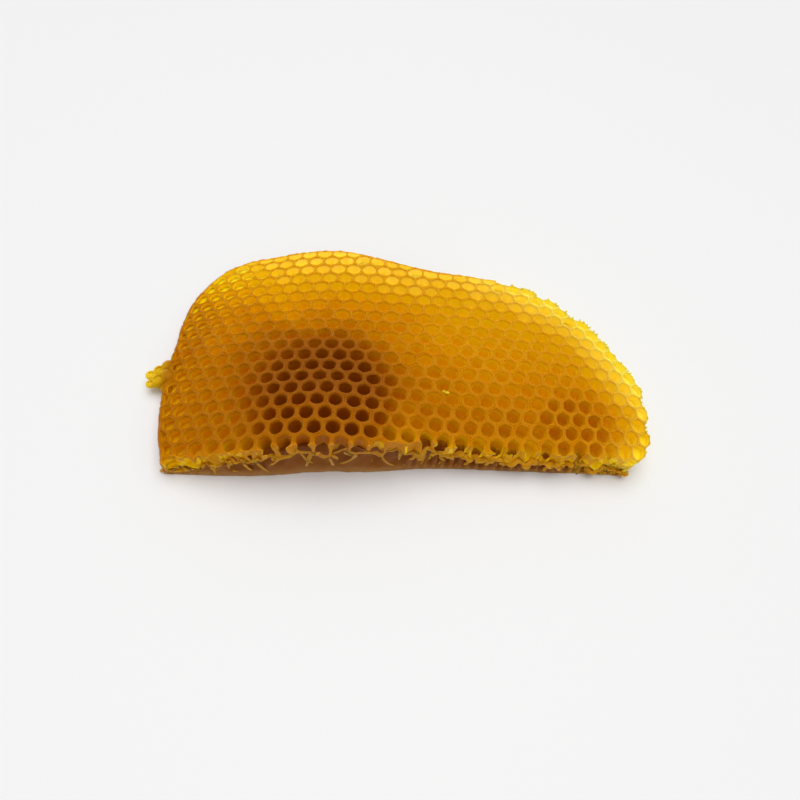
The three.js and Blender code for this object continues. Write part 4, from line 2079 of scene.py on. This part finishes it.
@dataclass
class Ageing:
    """Where the wax is coloured paler or darker, on a scale from 0, pale, to 1, dark; the pale thin wax
    along the rims is partly its own new colour and partly painted light that comes through it.
    """

    sheet: Sheet
    patches: tuple[Patch, ...] = (
        Patch(-22, -23, 19, 24, 1.0), Patch(-40, -12, 11.5, 16, 0.32), Patch(-70, 6, 10, 18, 0.2),
        Patch(-4, -33, 9, 11, -0.3), Patch(28, 1, 20, 16, -0.14), Patch(34, -33, 30, 8, 0.15, 0.0),
        Patch(-13, 11, 19, 10, 0.11), Patch(54, -28, 10, 11, 0.38, 0.15), Patch(70, -33, 14, 16, 0.22),
    )  # the first is the large dark one, and the last shades the lemon wax at the right end
    plain: float = 0.57
    near_cut: float = 0.003  # how much older each millimetre towards the cut looks
    near_cut_range: Range = (-10, 40)  # from and to here, mm towards the cut
    right_half: Ramp = Ramp(10.0, 10.0)
    right_newer: float = 0.12
    cut_newer: float = 0.1  # how much newer the row along the cut looks
    cut_reach: float = 4.0
    new_far: Ramp = Ramp(28.0, 5.0)  # y of the rim beyond which the wax is new
    new_right: Ramp = Ramp(35.0, 6.0)  # and x
    new_left: Ramp = Ramp(-48.0, -5.0)
    left_older: float = 0.25
    span: float = 25.5  # how far in from the rim the new wax reaches
    span_right: float = 12.5  # how much less far in the right half
    span_right_from: Ramp = Ramp(12.0, 8.0)
    span_left: float = 4.0
    span_left_from: Ramp = Ramp(-40.0, -6.0)
    span_power: float = 1.6
    smooth_rim: Ramp = Ramp(24.0, -2.0)
    rim_reach: Range = (1.6, 0.5)
    rim_age: float = 0.72
    front: Ramp = Ramp(-25.0, -2.5)  # the lips of the dark patch are yellower from here on to the cut
    lip_cut_newer: float = 0.08
    lip_cut_reach: float = 6.5
    lip_front_newer: float = 0.22
    lip_right: Ramp = Ramp(8.0, 4.0)
    lip_right_newer: float = 0.04
    lemon_right: Ramp = Ramp(36.0, 6.0)
    lemon_reach: float = 7.5
    lemon_shade: float = 0.75

    def age(self, x: Array, y: Array, lips: bool = False) -> Array:
        """Works out where the wax sits on the scale from pale to dark.

        Args:
            x: places along the cut
            y: places away from it
            lips: whether it is for the lips, which some patches leave alone

        Returns:
            the age at each place
        """
        plain = self.plain + self.near_cut * np.clip(-y, *self.near_cut_range)
        plain = plain - self.right_newer * self.right_half.share(x)
        plain -= self.cut_newer * bell((y - self.sheet.cut_line(x)) / self.cut_reach)
        age = plain * (1 - self.new_wax(x, y))
        for patch in self.patches:
            cover = patch.cover(x, y) * (patch.on_lips if lips else 1.0)
            age = age + cover * (1 - age)
        return age

    def new_wax(self, x: Array, y: Array) -> Array:
        """Works out how new the wax is.

        Args:
            x: places along the cut
            y: places away from it

        Returns:
            1 at the far and the right rim, and 0 away from them
        """
        gap, foot = self.sheet.rim.nearest(np.stack([x, y], 1))
        far_side = np.clip(self.new_far.share(foot[:, 1]) + self.new_right.share(foot[:, 0]), 0, 1)
        far_side = far_side * (1 - self.left_older * self.new_left.share(foot[:, 0]))
        span = self.span - self.span_right * self.span_right_from.share(x)
        span = span - self.span_left * self.span_left_from.share(x)
        return far_side * np.exp(-((gap / span) ** self.span_power))

    def rim(self, x: Array, y: Array) -> Array:
        """Returns 1 on the smooth outer lip of the far and the left side and 0 away from it."""
        gap, foot = self.sheet.rim.nearest(np.stack([x, y], 1))
        return np.clip(self.rim_reach[0] - gap / self.rim_reach[1], 0, 1) * self.smooth_rim.share(foot[:, 0])

    def lip_age(self, x: Array, y: Array) -> Array:
        """Works out the age of the lips: they are yellower near the cut, and darker on the rim.

        Args:
            x: places along the cut
            y: places away from it

        Returns:
            the age at each place
        """
        near_cut = bell((y - self.sheet.cut_line(x)) / self.lip_cut_reach)
        old_front = self.patches[0].cover(x, y) * self.front.share(y)
        newer = 1 - self.lip_cut_newer * near_cut - self.lip_front_newer * old_front
        age = self.age(x, y, lips=True) * newer - self.lip_right_newer * self.lip_right.share(x)
        return age + (self.rim_age - age) * self.rim(x, y)

    def lemon(self, x: Array, y: Array) -> Array:
        """Works out how pale and lemon the wax is: new wax on the right side.

        Args:
            x: places along the cut
            y: places away from it

        Returns:
            the share of the lemon colour at each place
        """
        gap, foot = self.sheet.rim.nearest(np.stack([x, y], 1))
        shaded = self.lemon_shade * self.patches[-1].cover(x, y) / self.patches[-1].strength
        return self.lemon_right.share(foot[:, 0]) * bell(gap / self.lemon_reach) * (1 - shaded)


# ---- Light, floor and camera --------------------------------------------------------------------


@dataclass
class Studio:
    """A pale floor under soft light, and the camera."""

    floor_size: float = 6.0  # metres
    floor_colour: float = 0.9
    floor_roughness: float = 0.6
    sky: float = 0.45
    sun: float = 1.8
    sun_width: float = 60.0
    sun_turn: tuple[float, float, float] = (-14, 0, -10)
    lens: float = 24.3
    sensor: float = 36.0
    nearest: float = 5.0
    camera_at: tuple[float, float, float] = (-15.762, -106.624, 145.272)
    camera_turn: tuple[float, float, float] = (32.3331, -6.2468, -0.4891)

    def build(self) -> None:
        """Makes the floor, the lights and the camera."""
        deselect_all()
        bpy.ops.mesh.primitive_plane_add(size=self.floor_size, location=(0, 0, 0))
        floor = bpy.context.object
        floor.name = "floor"
        graph = Graph("pale_floor")
        graph.finish(Base_Color=(*[self.floor_colour] * 3, 1.0), Roughness=self.floor_roughness)
        floor.data.materials.append(graph.material)
        floor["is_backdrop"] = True
        world = bpy.data.worlds.new("studio")
        bpy.context.scene.world = world
        world.use_nodes = True
        sky = world.node_tree.nodes["Background"]
        sky.inputs["Color"].default_value = (1, 1, 1, 1)
        sky.inputs["Strength"].default_value = self.sky
        bpy.ops.object.light_add(type="SUN", rotation=[math.radians(v) for v in self.sun_turn])
        sun = bpy.context.object
        sun.data.energy = self.sun
        sun.data.angle = math.radians(self.sun_width)
        bpy.ops.object.camera_add(
            location=[v * MM for v in self.camera_at],
            rotation=[math.radians(v) for v in self.camera_turn],
        )
        camera = bpy.context.object
        camera.data.lens = self.lens
        camera.data.sensor_width = self.sensor
        camera.data.clip_start = self.nearest * MM
        bpy.context.scene.camera = camera
        bpy.context.scene.view_settings.view_transform = "Standard"


def main() -> None:
    """Builds the pieces in order and reports each."""
    logging.basicConfig(level=logging.INFO, format="%(message)s")
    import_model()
    cad_box = [list(corner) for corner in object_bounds()]
    box = np.array(cad_box) / MM
    sheet = Sheet(Rim())
    comb = Comb(sheet, Cut(sheet))
    shreds, spur = Shreds(), Spur()
    edge, skin, fringe = TornEdge(comb.cut), ShadedCrushedSkin(comb.cut), Fringe(comb)
    torn = WaxFinish(name="torn_wax", lips=TORN_STOPS, roughness=0.5).material()
    # the skin's finish paints shade into the brown of the crushed wax
    crushed_and_shaded = WaxFinish(name="crushed_and_shaded_wax", lips=CRUSHED_AND_SHADED_STOPS, roughness=0.5).material()
    new_wax = WaxFinish(name="new_wax", lips=SPUR_STOPS, roughness=0.4).material()
    hung = shreds.copies("cut_shreds", edge.hanging() + edge.fibres() + edge.curls())
    tips = shreds.copies("rim_tips", [*fringe.tips(), fringe.flake()])
    smalls = (
        (hung, torn, edge.age, edge.lit), (tips, new_wax, edge.age, edge.lit),
        (edge.lip_thread(), torn, edge.age, edge.lit), (spur.build(), new_wax, spur.age, spur.lit),
        (skin.build(), crushed_and_shaded, skin.shade, skin.lit),
    )
    for small, material, age, lit in smalls:
        points = points_of(small)
        finish_small(small, material, age(points), lit(points), box)
    piece = comb.build(box)
    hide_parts(NODE)
    for part in [piece, *(small for small, *_ in smalls)]:
        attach(part, BODY)
        LOG.info("%s: %d faces", part.name, len(part.data.polygons))
    Studio().build()


if __name__ == "__main__":
    main()
